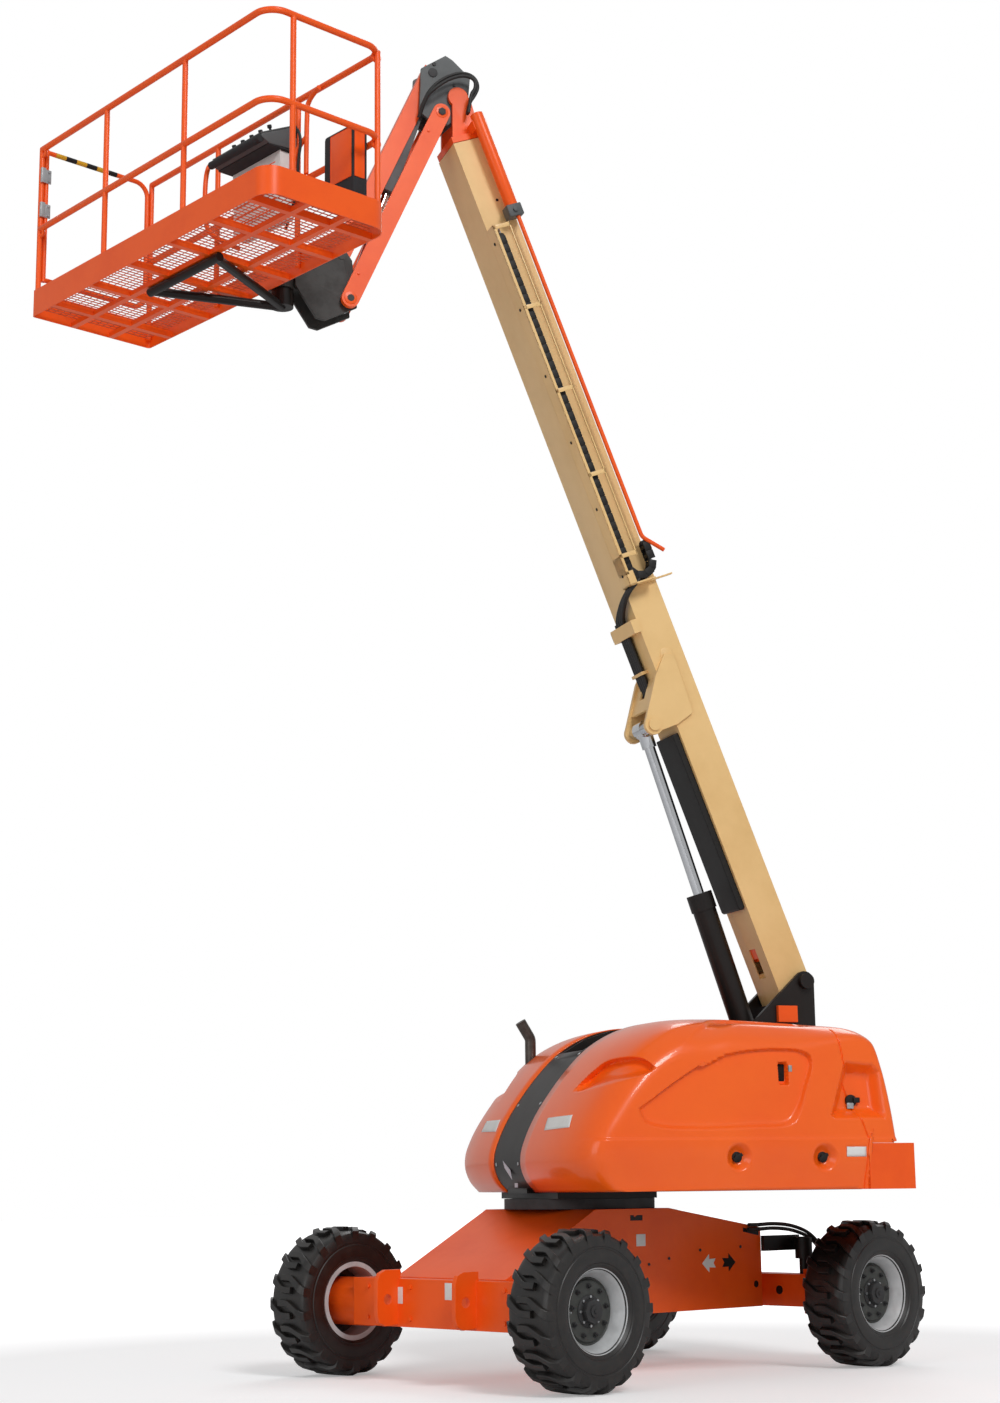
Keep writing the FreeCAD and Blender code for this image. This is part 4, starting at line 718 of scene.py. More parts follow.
def hoodSpot(side, start, heading):
    # where a line from outside meets the hood, and the surface's facing there, in the turntable's frame
    shell = hoodShells[side]
    begin = turntableFrame @ Vector(start)
    met, place, facing = shell.ray_cast(begin, (turntableFrame.to_3x3() @ Vector(heading)).normalized())[:3]
    if not met:
        return None, None
    back = turntableFrame.inverted()
    return back @ place, (back.to_3x3() @ facing).normalized()


def draped(name, side, corners, heading, finish, across, up, stand=0.0016):
    # a thin sticker laid on the hood: four corners, seen along heading
    rows = []
    step = Vector(heading).normalized()
    for j in range(up + 1):
        row = []
        for i in range(across + 1):
            a = Vector(corners[0]).lerp(Vector(corners[1]), i / across)
            b = Vector(corners[3]).lerp(Vector(corners[2]), i / across)
            place, facing = hoodSpot(side, a.lerp(b, j / up) - step * 0.5, heading)
            row.append(None if place is None else place + facing * stand)
        rows.append(row)
    shape = bmesh.new()
    grid = [[shape.verts.new(spot) if spot is not None else None for spot in row] for row in rows]
    for a, b in zip(grid, grid[1:]):
        for i in range(across):
            four = (a[i], a[i + 1], b[i + 1], b[i])
            if None not in four:
                shape.faces.new(four)
    bmesh.ops.recalc_face_normals(shape, faces=shape.faces)
    piece = linkMesh(name, meshOf(shape, name, turntableFrame), finish, 60)
    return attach(thickened(piece, 0.0014, 0), hoodBody[side])


# blank strips: side, corners, direction seen along, cells across and up
stripSheet = {
    "stripNear": (1, [(.4, .5, 1.432), (.4, .8, 1.44), (.4, .83, 1.372), (.4, .53, 1.362)], (-1, 0, 0), 14,
        5),
    "stripFar": (-1, [(.4, -.62, 1.446), (.4, -.33, 1.446), (.4, -.31, 1.376), (.4, -.62, 1.38)],
        (-1, 0, 0), 14, 5),
    "stripSide": (1, [(-1.19, 1.1, 1.2), (-1.314, 1.1, 1.2), (-1.314, 1.1, 1.256), (-1.19, 1.1, 1.256)],
        (0, -1, 0), 6, 3),
    "stripSideFar": (-1, [(-1.19, -1.1, 1.2), (-1.314, -1.1, 1.2), (-1.314, -1.1, 1.256),
        (-1.19, -1.1, 1.256)], (0, 1, 0), 6, 3),
}
for name, (side, corners, heading, across, up) in stripSheet.items():
    draped(name, side, corners, heading, "whiteVinyl", across, up)


def latch(shape):
    # a turned keeper with a folded handle and its keyhole
    addRound(shape, (0, -0.006, 0), (0, 0.008, 0), 0.03, 28, bevel=0.002)
    addRound(shape, (0, 0.006, 0), (0, 0.02, 0), 0.018, 20, bevel=0.002)
    addBox(shape, (-0.032, 0.012, -0.01), (0.03, 0.022, 0.01), 0.003, Matrix.Rotation(math.radians(32), 4,
        "Y"))


def hoodSeat(side, along, height):
    # a seat on the moulded side, its Y facing out
    place = hoodSpot(side, (along, side * 1.3, height), (0, -side, 0))[0]
    return turntableFrame @ Matrix.Translation(place) @ facingOut[side]


def lock(shape):
    addRound(shape, (0, -0.004, 0), (0, 0.016, 0), 0.034, 24, bevel=0.003)
    addBox(shape, (-0.05, 0.0, -0.012), (-0.01, 0.026, 0.018), 0.004)


def lockPlate(shape):
    addBox(shape, (-0.012, 0.01, -0.045), (0.03, 0.02, -0.012), 0.003)


def slotShade(shape):
    addBox(shape, (-0.022, -0.004, -0.055), (0.022, 0.003, 0.055), 0.004)


def slotTag(shape):
    addBox(shape, (-0.052, 0.03, 0.012), (-0.03, 0.044, 0.048), 0.003)


lockSpot, slotSpot = (-1.278, 1.513), (-0.845, 1.66)
for side, word in sideWord.items():
    for number, (along, height) in enumerate(hoodMarks["dishes"]):
        fit(f"latch{number}{word}", latch, "blackAbs", hoodBody[side], hoodSeat(side, along, height))
    for build, finish, (along, height) in ((lock, "blackAbs", lockSpot), (lockPlate, "zincPlate", lockSpot),
            (slotShade, "darkHole", slotSpot), (slotTag, "zincPlate", slotSpot)):
        fit(build.__name__ + word, build, finish, hoodBody[side], hoodSeat(side, along, height))


def louvre(shape):
    # one pressed blade of the cooling vent, tilted to shed rain
    addBox(shape, (-0.006, -0.19, -0.004), (0.016, 0.19, 0.004), 0.002, Matrix.Rotation(math.radians(28), 4,
        "Y"))


ventSizes = {"blades": 9, "across": 0.66, "low": 1.34, "high": 1.52, "margin": 0.022}
for side, word in sideWord.items():
    across, margin = side * ventSizes["across"], ventSizes["margin"]
    place = hoodSpot(side, (-2.1, across, ventSizes["high"]), (1, 0, 0))[0]
    lower = hoodSpot(side, (-2.1, across, ventSizes["low"]), (1, 0, 0))[0]
    rise = (place - lower) / (ventSizes["blades"] - 1)
    blades = repeated(meshFrom("ventBlades" + word, louvre, "gelcoatOrange", Matrix.Translation(lower)),
        ventSizes["blades"], move=tuple(rise))
    settle(blades, hoodBody[side], turntableFrame)
    fit("ventBacking" + word, lambda s: addBox(s, (-0.004, -0.205, -margin),
        (0.004, 0.205, (place - lower).length + margin), 0.006, Matrix.Rotation(math.atan2(rise.x, rise.z),
        4, "Y")), "satinBlack", hoodBody[side], turntableFrame @ Matrix.Translation(lower))


def weightSpot(across, height):
    # a place on the counterweight's curved tail, in the turntable's frame
    block = bpy.data.objects["counterweight"]
    met, place = block.ray_cast(turntableFrame @ Vector((-3.0, across, height)), turntableFrame.to_3x3()
        @ Vector((1, 0, 0)))[:2]
    return turntableFrame.inverted() @ place if met else Vector((-1.62, across, height))


def tailReflector(shape, at):
    addBox(shape, (at.x - 0.003, at.y - 0.055, at.z - 0.022), (at.x + 0.006, at.y + 0.055, at.z + 0.022),
        0.004)


def tailPlug(shape, at):
    # threaded lifting point with its washer
    addRound(shape, (at.x + 0.006, at.y, at.z), (at.x - 0.002, at.y, at.z), 0.042, 32, bevel=0.001)
    addRound(shape, (at.x + 0.004, at.y, at.z), (at.x - 0.008, at.y, at.z), 0.026, 6, bevel=0.001)


tailMarks = {"reflectors": (-0.9, 0.9), "reflectorHeight": 1.165, "plugs": (-0.45, 0.45), "height": 1.15}
for number, across in enumerate(tailMarks["reflectors"]):
    fit(f"tailReflector{number}", lambda s: tailReflector(s,
        weightSpot(across, tailMarks["reflectorHeight"])), "redLens", "turntable", turntableFrame)
for number, across in enumerate(tailMarks["plugs"]):
    fit(f"tailPlug{number}", lambda s: tailPlug(s, weightSpot(across, tailMarks["height"])), "castIron",
        "turntable", turntableFrame)
tail = weightSpot(0, tailMarks["height"])
fit("tailPlate", lambda s: addBox(s, (tail.x - 0.002, -0.11, 1.11), (tail.x + 0.004, 0.11, 1.19), 0.003),
    "whiteVinyl", "turntable", turntableFrame)
bandLine = splinePoints([(x / 1000, z / 1000) for x, z in hoodSizes["line"][:13]], 60)


def troughHeight(spot):
    # the cover follows the hoods, then dips so that the lowered lift cylinder lies in it
    return min(spot.y, 1.825 + 0.5 * spot.x)


def bandSheet(shape):
    # the cover between the hoods, a little inside their line, with a wall on each side where it dips
    rows = []
    for i, here in enumerate(bandLine):
        ahead = bandLine[min(i + 1, len(bandLine) - 1)] - bandLine[max(i - 1, 0)]
        spot = here + Vector((-ahead.y, ahead.x)).normalized() * 0.007
        low = troughHeight(spot)
        rows.append([shape.verts.new(at) for at in ((spot.x, -0.204, spot.y), (spot.x, -0.2035, low),
            (spot.x, 0.2535, low), (spot.x, 0.254, spot.y))])
    for a, b in zip(rows, rows[1:]):
        for i in range(3):
            shape.faces.new((a[i], a[i + 1], b[i + 1], b[i]))


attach(thickened(meshFrom("bandSheet", bandSheet, "satinBlack", turntableFrame), 0.003), "turntable")


def bandBolts(shape):
    for i in (6, 18, 30):
        ahead = (bandLine[i + 1] - bandLine[i - 1]).normalized()
        out = Vector((ahead.y, 0, -ahead.x))
        for v in (-0.165, 0.215):
            foot = Vector((bandLine[i].x, v, bandLine[i].y)) - out * 0.007
            addRound(shape, foot, foot + out * 0.006, 0.011, 6, bevel=0.001)


fit("bandBolts", bandBolts, "zincPlate", "turntable", turntableFrame)


def bandTag(shape):
    addPlate(shape, [(-0.055, 1.205), (0.075, 1.15), (0.105, 1.095), (-0.02, 1.16)], 0.4525, 0.4545, 0, "X")
    addPlate(shape, [(0.045, 1.075), (0.095, 1.075), (0.095, 1.05), (0.045, 1.05)], 0.4145, 0.4165, 0, "X")


fit("bandTag", bandTag, "markerTape", "turntable", turntableFrame)
print("hood fittings placed")


# wheels, made about their axle along Y, outer face at +Y

wheelSizes = {
    "radius": 0.419, "width": 0.307, "bead": 0.215, "base": 0.394, "lugs": 18, "lugWidth": 0.036,
    "lugPast": 0.052, "lugBend": 0.03, "lugLean": 0.66, "rimWell": 0.203, "rimFlange": 0.229,
    "disc": 0.05, "hub": 0.118, "bolts": 9, "boltCircle": 0.128, "boltSize": 0.011, "plugs": 8,
    "plugCircle": 0.074, "halfTrack": 0.985, "frontAxle": 1.0, "wheelbase": 2.387,
}


def carcass(shape):
    half, bead, base = wheelSizes["width"] / 2, wheelSizes["bead"], wheelSizes["base"]
    # bead, lower sidewall, rim guard rib, upper sidewall, buttress, tread floor
    side = [(bead, half - 0.026), (bead + 0.01, half - 0.018), (bead + 0.022, half - 0.01),
        (bead + 0.028, half - 0.01), (bead + 0.034, half - 0.004), (bead + 0.046, half - 0.001),
        (bead + 0.075, half - 0.0005), (bead + 0.1, half - 0.002), (bead + 0.104, half - 0.006),
        (bead + 0.112, half - 0.006), (bead + 0.116, half - 0.003), (base - 0.03, half - 0.006),
        (base - 0.012, half - 0.014), (base - 0.002, half - 0.03), (base, half - 0.05)]
    profile = side + [(base, 0.0)] + [(r, -y) for r, y in reversed(side)]
    profile += [(bead - 0.004, -half + 0.03), (bead - 0.004, half - 0.03)]
    addTurned(shape, profile, 96)


def treadLug(shape):
    # a bar across the tread's middle that bends back to the shoulder and widens there
    half, base, top = wheelSizes["width"] / 2, wheelSizes["base"] - 0.006, wheelSizes["radius"]
    steps = 12
    rows = []
    for i in range(steps + 1):
        along = -wheelSizes["lugPast"] + (half + wheelSizes["lugPast"] - 0.004) * i / steps
        beyond = along - wheelSizes["lugBend"]
        lean = wheelSizes["lugLean"] * (beyond + math.hypot(beyond, 0.012)) / 2
        wide = wheelSizes["lugWidth"] + 0.014 * smoothStep(along, wheelSizes["lugBend"], half)
        shoulder = smoothStep(along, half - 0.034, half - 0.004)
        crown = top - 0.003 * (along / half) ** 2 - 0.022 * shoulder
        floorRadius = base - 0.048 * shoulder
        row = []
        for offset, radius in ((-0.6, floorRadius), (-0.5, crown - 0.003), (-0.43, crown), (0.43, crown),
                (0.5, crown - 0.003), (0.6, floorRadius)):
            angle = (lean + offset * wide) / top
            row.append(shape.verts.new((radius * math.sin(angle), along, radius * math.cos(angle))))
        rows.append(row)
    for a, b in zip(rows, rows[1:]):
        for j in range(5):
            shape.faces.new((a[j], a[j + 1], b[j + 1], b[j]))
        shape.faces.new((a[5], a[0], b[0], b[5]))
    shape.faces.new(rows[0])
    shape.faces.new(list(reversed(rows[-1])))


def joinedPiece(name, pieces, sharp=35):
    # several meshes of one finish, or several finishes, as one piece
    shape = bmesh.new()
    materials = []
    for piece in pieces:
        first = len(materials)
        materials += list(piece.data.materials)
        before = len(shape.faces)
        shape.from_mesh(piece.data)
        shape.faces.ensure_lookup_table()
        for face in shape.faces[before:]:
            face.material_index += first
        bpy.data.objects.remove(piece)
    mesh = meshOf(shape, name)
    unique = list(dict.fromkeys(materials))
    for material in unique:
        mesh.materials.append(material)
    for face in mesh.polygons:
        face.material_index = unique.index(materials[face.material_index])
    return linkMesh(name, mesh, None, sharp)


def tyrePiece(name, place):
    step = 360 / wheelSizes["lugs"]
    outer = meshFrom(name + "Outer", treadLug, "treadRubber")
    repeated(outer, wheelSizes["lugs"], turn=(0, step, 0))
    inner = meshFrom(name + "Inner", treadLug, "treadRubber")
    inner.data.transform(Matrix.Rotation(math.pi, 4, "Z"))
    inner.data.transform(Matrix.Rotation(math.radians(step / 2), 4, "Y"))
    repeated(inner, wheelSizes["lugs"], turn=(0, step, 0))
    body = meshFrom(name + "Carcass", carcass, "treadRubber")
    whole = joinedPiece(name, [body, outer, inner], 30)
    whole.data.transform(place)
    return whole


def wheelBarrel(shape):
    # rolled barrel with flange lips and a drop centre
    well, flange, half = wheelSizes["rimWell"], wheelSizes["rimFlange"], 0.132
    addTurned(shape, [(well - 0.01, -half), (flange - 0.008, -half), (flange, -half + 0.003),
        (flange - 0.002, -half + 0.007), (well + 0.008, -half + 0.016), (well, -half + 0.05),
        (well, half - 0.055), (well + 0.009, half - 0.018), (flange - 0.004, half - 0.01),
        (flange, half - 0.004), (flange - 0.003, half + 0.001), (flange - 0.012, half - 0.001),
        (flange - 0.018, half - 0.012), (well - 0.002, half - 0.02), (well - 0.01, half - 0.04),
        (well - 0.026, half - 0.062), (well - 0.03, half - 0.085), (well - 0.016, half - 0.1),
        (well - 0.012, -half + 0.05)], 96)


def wheelDisc(shape):
    # dished disc, set deep, with its bolt land and hub bore
    well, disc, hub = wheelSizes["rimWell"], wheelSizes["disc"], wheelSizes["hub"]
    addTurned(shape, [(well - 0.012, disc - 0.012), (well - 0.034, disc + 0.002),
        (well - 0.052, disc - 0.01), (hub + 0.05, disc - 0.01), (hub + 0.036, disc + 0.008),
        (hub - 0.034, disc + 0.01), (hub - 0.034, disc + 0.0045), (hub + 0.03, disc + 0.0045),
        (hub + 0.044, disc - 0.022), (well - 0.046, disc - 0.022), (well - 0.012, disc - 0.024)], 96)


def hubCap(shape):
    # cast drive housing: flange, shoulder and the planetary cover with its flats
    disc, hub = wheelSizes["disc"], wheelSizes["hub"]
    addTurned(shape, [(0.0001, disc - 0.016), (hub - 0.034, disc - 0.016), (hub - 0.034, disc + 0.014),
        (hub - 0.04, disc + 0.02), (hub * 0.6, disc + 0.022), (0.0001, disc + 0.022)], 56)
    addRound(shape, (0, disc + 0.02, 0), (0, disc + 0.052, 0), hub * 0.58, 8, hub * 0.54, bevel=0.003)
    addRound(shape, (0, disc + 0.05, 0), (0, disc + 0.061, 0), hub * 0.26, 24, bevel=0.003)
    addRound(shape, (0, disc + 0.06, 0), (0, disc + 0.067, 0), 0.012, 6, bevel=0.001)


def hexNut(shape):
    # washer, nut and the stud's end
    y, z, radius = wheelSizes["disc"] + 0.008, wheelSizes["boltCircle"], wheelSizes["boltSize"]
    addRound(shape, (0, y, z), (0, y + 0.004, z), radius * 1.35, 20)
    addRound(shape, (0, y + 0.002, z), (0, y + 0.017, z), radius, 6, bevel=0.0015)
    addRound(shape, (0, y + 0.015, z), (0, y + 0.026, z), radius * 0.52, 12, bevel=0.001)


def hubPlug(shape):
    y, z = wheelSizes["disc"] + 0.02, wheelSizes["plugCircle"]
    addRound(shape, (0, y, z), (0, wheelSizes["disc"] + 0.028, z), 0.008, 6, bevel=0.001)


def rimPiece(name, place):
    barrel = meshFrom(name + "Barrel", wheelBarrel, "silverEnamel", sharp=30)
    # the disc's darker finish is painted shade for its deep recess
    disc = meshFrom(name + "Disc", wheelDisc, "recessShadeSilver", sharp=30)
    cap = meshFrom(name + "Cap", hubCap, "castIron", sharp=30)
    nut = meshFrom(name + "Nut", hexNut, "castIron", sharp=30)
    repeated(nut, wheelSizes["bolts"], turn=(0, 360 / wheelSizes["bolts"], 0))
    plug = meshFrom(name + "Plug", hubPlug, "zincPlate")
    repeated(plug, wheelSizes["plugs"], turn=(0, 360 / wheelSizes["plugs"], 0))
    valve = curveTube(name + "Valve", [(0.176, 0.06, 0), (0.172, 0.085, 0), (0.17, 0.1, 0)], 0.004,
        "zincPlate")
    whole = joinedPiece(name, [barrel, disc, cap, nut, plug, valve], 30)
    whole.data.transform(place)
    return whole


for end, along in (("front", wheelSizes["frontAxle"]),
        ("rear", wheelSizes["frontAxle"] - wheelSizes["wheelbase"])):
    for side, hand in ((1, "left"), (-1, "right")):
        seat = Matrix.Translation((along, side * wheelSizes["halfTrack"],
            wheelSizes["radius"])) @ facingOut[side]
        body = f"wheel_{end}_{hand}"
        tyreShape = tyrePiece(f"tyre{end.title()}{hand.title()}", seat)
        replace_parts(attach(tyreShape, body), f"tyre_{end}_{hand}")
        rimShape = rimPiece(f"rim{end.title()}{hand.title()}", seat)
        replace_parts(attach(rimShape, body), f"rim_{end}_{hand}")
print("wheels made")


# chassis fittings, on its flank and nose, in the object's own frame

flank = 0.45


def flankArrow(shape, tip, heading):
    # stubby direction arrow lying on the flank
    outline = [(0, 0), (0.062, 0.052), (0.062, 0.024), (0.118, 0.026), (0.1, 0.0), (0.118, -0.026),
        (0.062, -0.024), (0.062, -0.052)]
    for side in (1, -1):
        addPlate(shape, [(tip + heading * x, 0.603 + z) for x, z in outline], side * (flank + 0.0002),
            side * (flank + 0.0016))


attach(meshFrom("flankArrowPale", lambda s: flankArrow(s, -0.556, -1), "whiteVinyl"), "chassis")
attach(meshFrom("flankArrowDark", lambda s: flankArrow(s, -0.852, 1), "satinBlack"), "chassis")


def flankPlates(shape):
    for side in (1, -1):
        near, far = side * (flank + 0.0002), side * (flank + 0.003)
        addPlate(shape, [(-0.075, 0.715), (0.0, 0.715), (0.0, 0.782), (-0.075, 0.782)], near, far, 0.001)


def flankBolts(shape):
    for side in (1, -1):
        for along, height in ((0.15, 0.64), (-0.27, 0.64), (-0.54, 0.68), (-0.1, 0.612), (-0.9, 0.69)):
            addRound(shape, (along, side * (flank + 0.0002), height), (along, side * (flank + 0.006),
                height), 0.009, 6, bevel=0.001)


def flankShades(shape):
    # painted shade: dark plates standing for the shade in the hand holes and the hose slot under the
    # bearing
    for side in (1, -1):
        near, far = side * (flank + 0.0002), side * (flank + 0.0016)
        addPlate(shape, [(-0.055, 0.858), (0.045, 0.858), (0.045, 0.888), (0.02, 0.888), (0.01, 0.876),
            (-0.01, 0.888), (-0.055, 0.888)], near, far)
        addRound(shape, (-1.035, near, 0.47), (-1.035, far, 0.47), 0.02, 18)
        addPlate(shape, [(-1.07, 0.752), (-0.93, 0.776), (-0.93, 0.8), (-1.07, 0.78)], near, far)
    # dark discs painted as the shade inside two holes in the frame's tail
    for across in (0.41, -0.41):
        addRound(shape, (-1.2965, across, 0.425), (-1.2945, across, 0.425), 0.026, 20)


def axlePlates(shape):
    # blank rating plates on the axle's face
    for across, height in ((0.085, 0.5), (-0.35, 0.47)):
        addBox(shape, (1.1402, across, height - 0.045), (1.142, across + 0.085, height + 0.045), 0.001)


def axleBolts(shape):
    for across in (-0.56, -0.2, 0.2, 0.56):
        for height in (0.345, 0.515):
            addRound(shape, (1.1402, across, height), (1.15, across, height), 0.013, 6, bevel=0.001)


fit("flankPlates", flankPlates, "whiteVinyl", "chassis")
# the satin black of flankShades is painted shade in the flank's holes and slot
fit("flankShades", flankShades, "satinBlack", "chassis")
fit("axlePlates", axlePlates, "whiteVinyl", "chassis")
fit("flankBolts", flankBolts, "castIron", "chassis")
fit("axleBolts", axleBolts, "powderOrange", "chassis")

# brake and lock hoses, from the frame's tail over the steer axle
for side, word in sideWord.items():
    for number, lift in enumerate((0.0, 0.026)):
        points = [(-0.96, side * (0.462 + lift * 0.3), 0.79 + lift), (-1.06, side * 0.462, 0.788 + lift),
            (-1.18, side * 0.47, 0.795 + lift), (-1.33, side * 0.5, 0.782 + lift),
            (-1.44, side * 0.56, 0.73 + lift), (-1.48, side * (0.6 + lift), 0.64),
            (-1.47, side * (0.61 + lift), 0.56)]
        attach(curveTube(f"brakeHose{word}{number}", points, 0.011, "hoseRubber"), "chassis")
print("chassis fitted out")


# boom, in its own frame: along, to its left, square to its top

trayMarks = {"start": 2.7, "end": 5.035, "inside": 0.1503, "outside": 0.2653, "floor": -0.172,
    "link": 0.0565, "chainHeight": -0.123, "chainSide": 0.2075, "bend": 0.085, "bendAt": 2.76}


def trackTray(shape):
    start, end, floorHeight = trayMarks["start"], trayMarks["end"], trayMarks["floor"]
    inside, outside = trayMarks["inside"], trayMarks["outside"]
    addBox(shape, (start, inside, floorHeight), (end, outside, floorHeight + 0.006), 0.001)
    addBox(shape, (start, outside - 0.006, floorHeight), (end, outside, floorHeight + 0.022), 0.001)
    addBox(shape, (start, inside, floorHeight), (end, inside + 0.004, floorHeight + 0.108), 0.001)
    addBox(shape, (start + 0.1, outside - 0.01, -0.058), (end, outside, -0.05), 0.001)
    for along in (2.82, 3.36, 3.92, 4.48, 5.02):
        addBox(shape, (along - 0.013, outside - 0.006, floorHeight), (along + 0.013, outside, -0.05), 0.001)
    # foot: a floor, an end plate and a low side
    addBox(shape, (2.63, inside, floorHeight), (2.825, outside, floorHeight + 0.006), 0.001)
    addBox(shape, (2.63, inside, floorHeight), (2.64, outside, 0.01), 0.001)
    addBox(shape, (2.63, outside - 0.006, floorHeight), (2.72, outside, -0.12), 0.001)
    addBox(shape, (2.63, inside, floorHeight), (2.64, inside + 0.03, 0.17), 0.001)


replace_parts(fit("trackTray", trackTray, "creamEnamel", "boom", boomFrame), "power_track_tray")


def chainLink(shape):
    # two side plates, the rounded pin bosses and the cross bar that holds the hoses
    for side in (-1, 1):
        addBox(shape, (-0.026, side * 0.029 - 0.003, -0.024), (0.026, side * 0.029 + 0.003, 0.024), 0.002)
        addRound(shape, (0.026, side * 0.026 - 0.003, 0), (0.026, side * 0.026 + 0.003, 0), 0.022, 16)
    addBox(shape, (-0.01, -0.028, 0.017), (0.012, 0.028, 0.023), 0.002)
    addBox(shape, (-0.01, -0.028, -0.023), (0.012, 0.028, -0.017), 0.002)


chainSide, chainHeight = trayMarks["chainSide"], trayMarks["chainHeight"]
count = int((trayMarks["end"] - trayMarks["bendAt"] - 0.03) / trayMarks["link"])
lowRun = repeated(meshFrom("trackLow", chainLink, "blackAbs"), count, move=(trayMarks["link"], 0, 0))
lowRun.data.transform(boomFrame @ Matrix.Translation((trayMarks["bendAt"] + 0.03, chainSide, chainHeight)))
swung = meshFrom("trackBend", chainLink, "blackAbs", Matrix.Translation((0, 0, -trayMarks["bend"])))
bendTurn = math.degrees(trayMarks["link"] / trayMarks["bend"])
swung = repeated(swung, 5, turn=(0, bendTurn, 0))
swung.data.transform(boomFrame @ Matrix.Translation((trayMarks["bendAt"], chainSide, chainHeight
    + trayMarks["bend"])))
highRun = repeated(meshFrom("trackHigh", chainLink, "blackAbs"), 2, move=(trayMarks["link"], 0, 0))
highRun.data.transform(boomFrame @ Matrix.Translation((trayMarks["bendAt"] + 0.02, chainSide, chainHeight
    + 2 * trayMarks["bend"])))
track = joinedPiece("powerTrack", [lowRun, swung, highRun], 30)
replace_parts(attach(track, "boom"), "power_track")

# hoses along the track, round its bend
for number, (shift, finish) in enumerate(((-0.013, "hoseRubber"), (0.002, "hoseRubber"),
        (0.016, "zincPlate"))):
    bend = [(trayMarks["bendAt"] - (trayMarks["bend"] - 0.004) * math.sin(math.radians(a)),
        chainSide + shift, chainHeight
        + trayMarks["bend"] - (trayMarks["bend"] - 0.004) * math.cos(math.radians(a))) for a in range(0,
        181, 20)]
    points = [(trayMarks["end"] - 0.02, chainSide + shift, chainHeight + 0.004)] + bend + [
        (2.86, chainSide + shift, chainHeight + 2 * trayMarks["bend"])]
    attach(curveTube(f"trackHose{number}", points, 0.0065, finish, boomFrame), "boom")


def trayBolts(shape):
    addRound(shape, (0, 0, 0), (0, 0, -0.005), 0.01, 6, bevel=0.001)


bolts = repeated(meshFrom("trayBolts", trayBolts, "blackAbs"), 6, move=(-0.445, 0, 0))
settle(bolts, "boom", boomFrame @ Matrix.Translation((4.93, 0.2075, -0.1718)))

# hose bundle from the tray's foot, round under the boom and through its clamp
for number, shift in enumerate((-0.045, -0.015, 0.015, 0.045)):
    points = [(2.655, 0.213 + shift * 0.5, -0.085), (2.625, 0.208 + shift * 0.5, -0.15),
        (2.575, 0.165 + shift * 0.6, -0.196), (2.515, 0.06 + shift * 0.8, -0.2),
        (2.465, -0.028 + shift, -0.188), (2.4, -0.04 + shift, -0.187), (2.25, -0.04 + shift, -0.186),
        (2.06, -0.04 + shift, -0.186), (1.96, -0.03 + shift * 0.8, -0.19), (1.89, -0.01 + shift * 0.6,
        -0.206), (1.865, 0.0 + shift * 0.5, -0.213)]
    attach(curveTube(f"bundleHose{number}", points, 0.0145, "hoseRubber", boomFrame), "boom")


def boomFittings(shape):
    # strap over the hoses, doubler plate on each side
    addBox(shape, (2.105, -0.118, -0.207), (2.125, 0.038, -0.2035), 0.001)
    for across in (-0.118, 0.034):
        addBox(shape, (2.105, across, -0.206), (2.125, across + 0.004, -0.1625), 0.001)
    outline = []
    for step in range(24):
        angle = 2 * math.pi * step / 24
        outline.append((2.03 + (0.14 if math.cos(angle) > 0 else -0.14) + 0.043 * math.cos(angle),
            -0.055 + 0.043 * math.sin(angle)))
    for side in (1, -1):
        addPlate(shape, outline, side * 0.1495, side * 0.1535, 0.0015)


fit("boomFittings", boomFittings, "creamEnamel", "boom", boomFrame)


def clampBlock(shape):
    # rubber-lined clamp halves and the hose couplings in the hook
    addBox(shape, (2.378, -0.1, -0.2055), (2.432, 0.025, -0.169), 0.004)
    for across in (-0.085, -0.055, -0.025, 0.005):
        addRound(shape, (2.35, across, -0.187), (2.46, across, -0.187), 0.0175, 12, bevel=0.002)


fit("clampBlock", clampBlock, "blackAbs", "boom", boomFrame)


def boomShades(shape):
    # painted shade: dark plates in the doublers' slots, and dark rounds in the holes along the boom
    for along in (2.105, 1.955):
        for side in (1, -1):
            addPlate(shape, [(along - 0.017, -0.06), (along + 0.013, -0.064), (along + 0.018, -0.054),
                (along - 0.012, -0.05)], side * 0.153, side * 0.1542)
    addRound(shape, (5.22, 0.1495, -0.02), (5.22, 0.1525, -0.02), 0.009, 14)
    addRound(shape, (2.37, -0.172, -0.187), (2.43, -0.172, -0.187), 0.021, 20, bevel=0.002)


# the hose rubber finish of boomShades is painted shade in slots and holes
fit("boomShades", boomShades, "hoseRubber", "boom", boomFrame)


def pushTube(shape):
    addRound(shape, (5.1, 0.222, 0.024), (5.765, 0.222, 0.024), 0.041, 36, bevel=0.003)


def pushCollar(shape):
    addBox(shape, (5.06, 0.178, -0.03), (5.138, 0.266, 0.07), 0.008)
    addRound(shape, (5.098, 0.262, 0.02), (5.098, 0.278, 0.02), 0.016, 18, bevel=0.002)


fit("pushTube", pushTube, "powderOrange", "fly", boomFrame)
fit("pushCollar", pushCollar, "bracketGrey", "fly", boomFrame)

# hoses looping over the jib head, from the arms' gap back to the boom's end
for number, (side, drop) in enumerate(((0.166, 0.0), (-0.166, 0.0), (0.19, 0.03))):
    points = [(0.25, side * 0.5, -0.16), (0.235, side * 0.85, -0.06), (0.18, side, 0.03 - drop),
        (0.09, side, 0.105 - drop), (-0.01, side, 0.15 - drop), (-0.09, side, 0.135 - drop),
        (-0.122 + drop, side, 0.07 - drop), (-0.095 + drop, side * 0.99, 0.005),
        (-0.055, side * 0.985, -0.055), (-0.045, side * 0.98, -0.13)]
    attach(curveTube(f"headHose{number}", points, 0.011, "hoseRubber", headFrame), "jib_head")


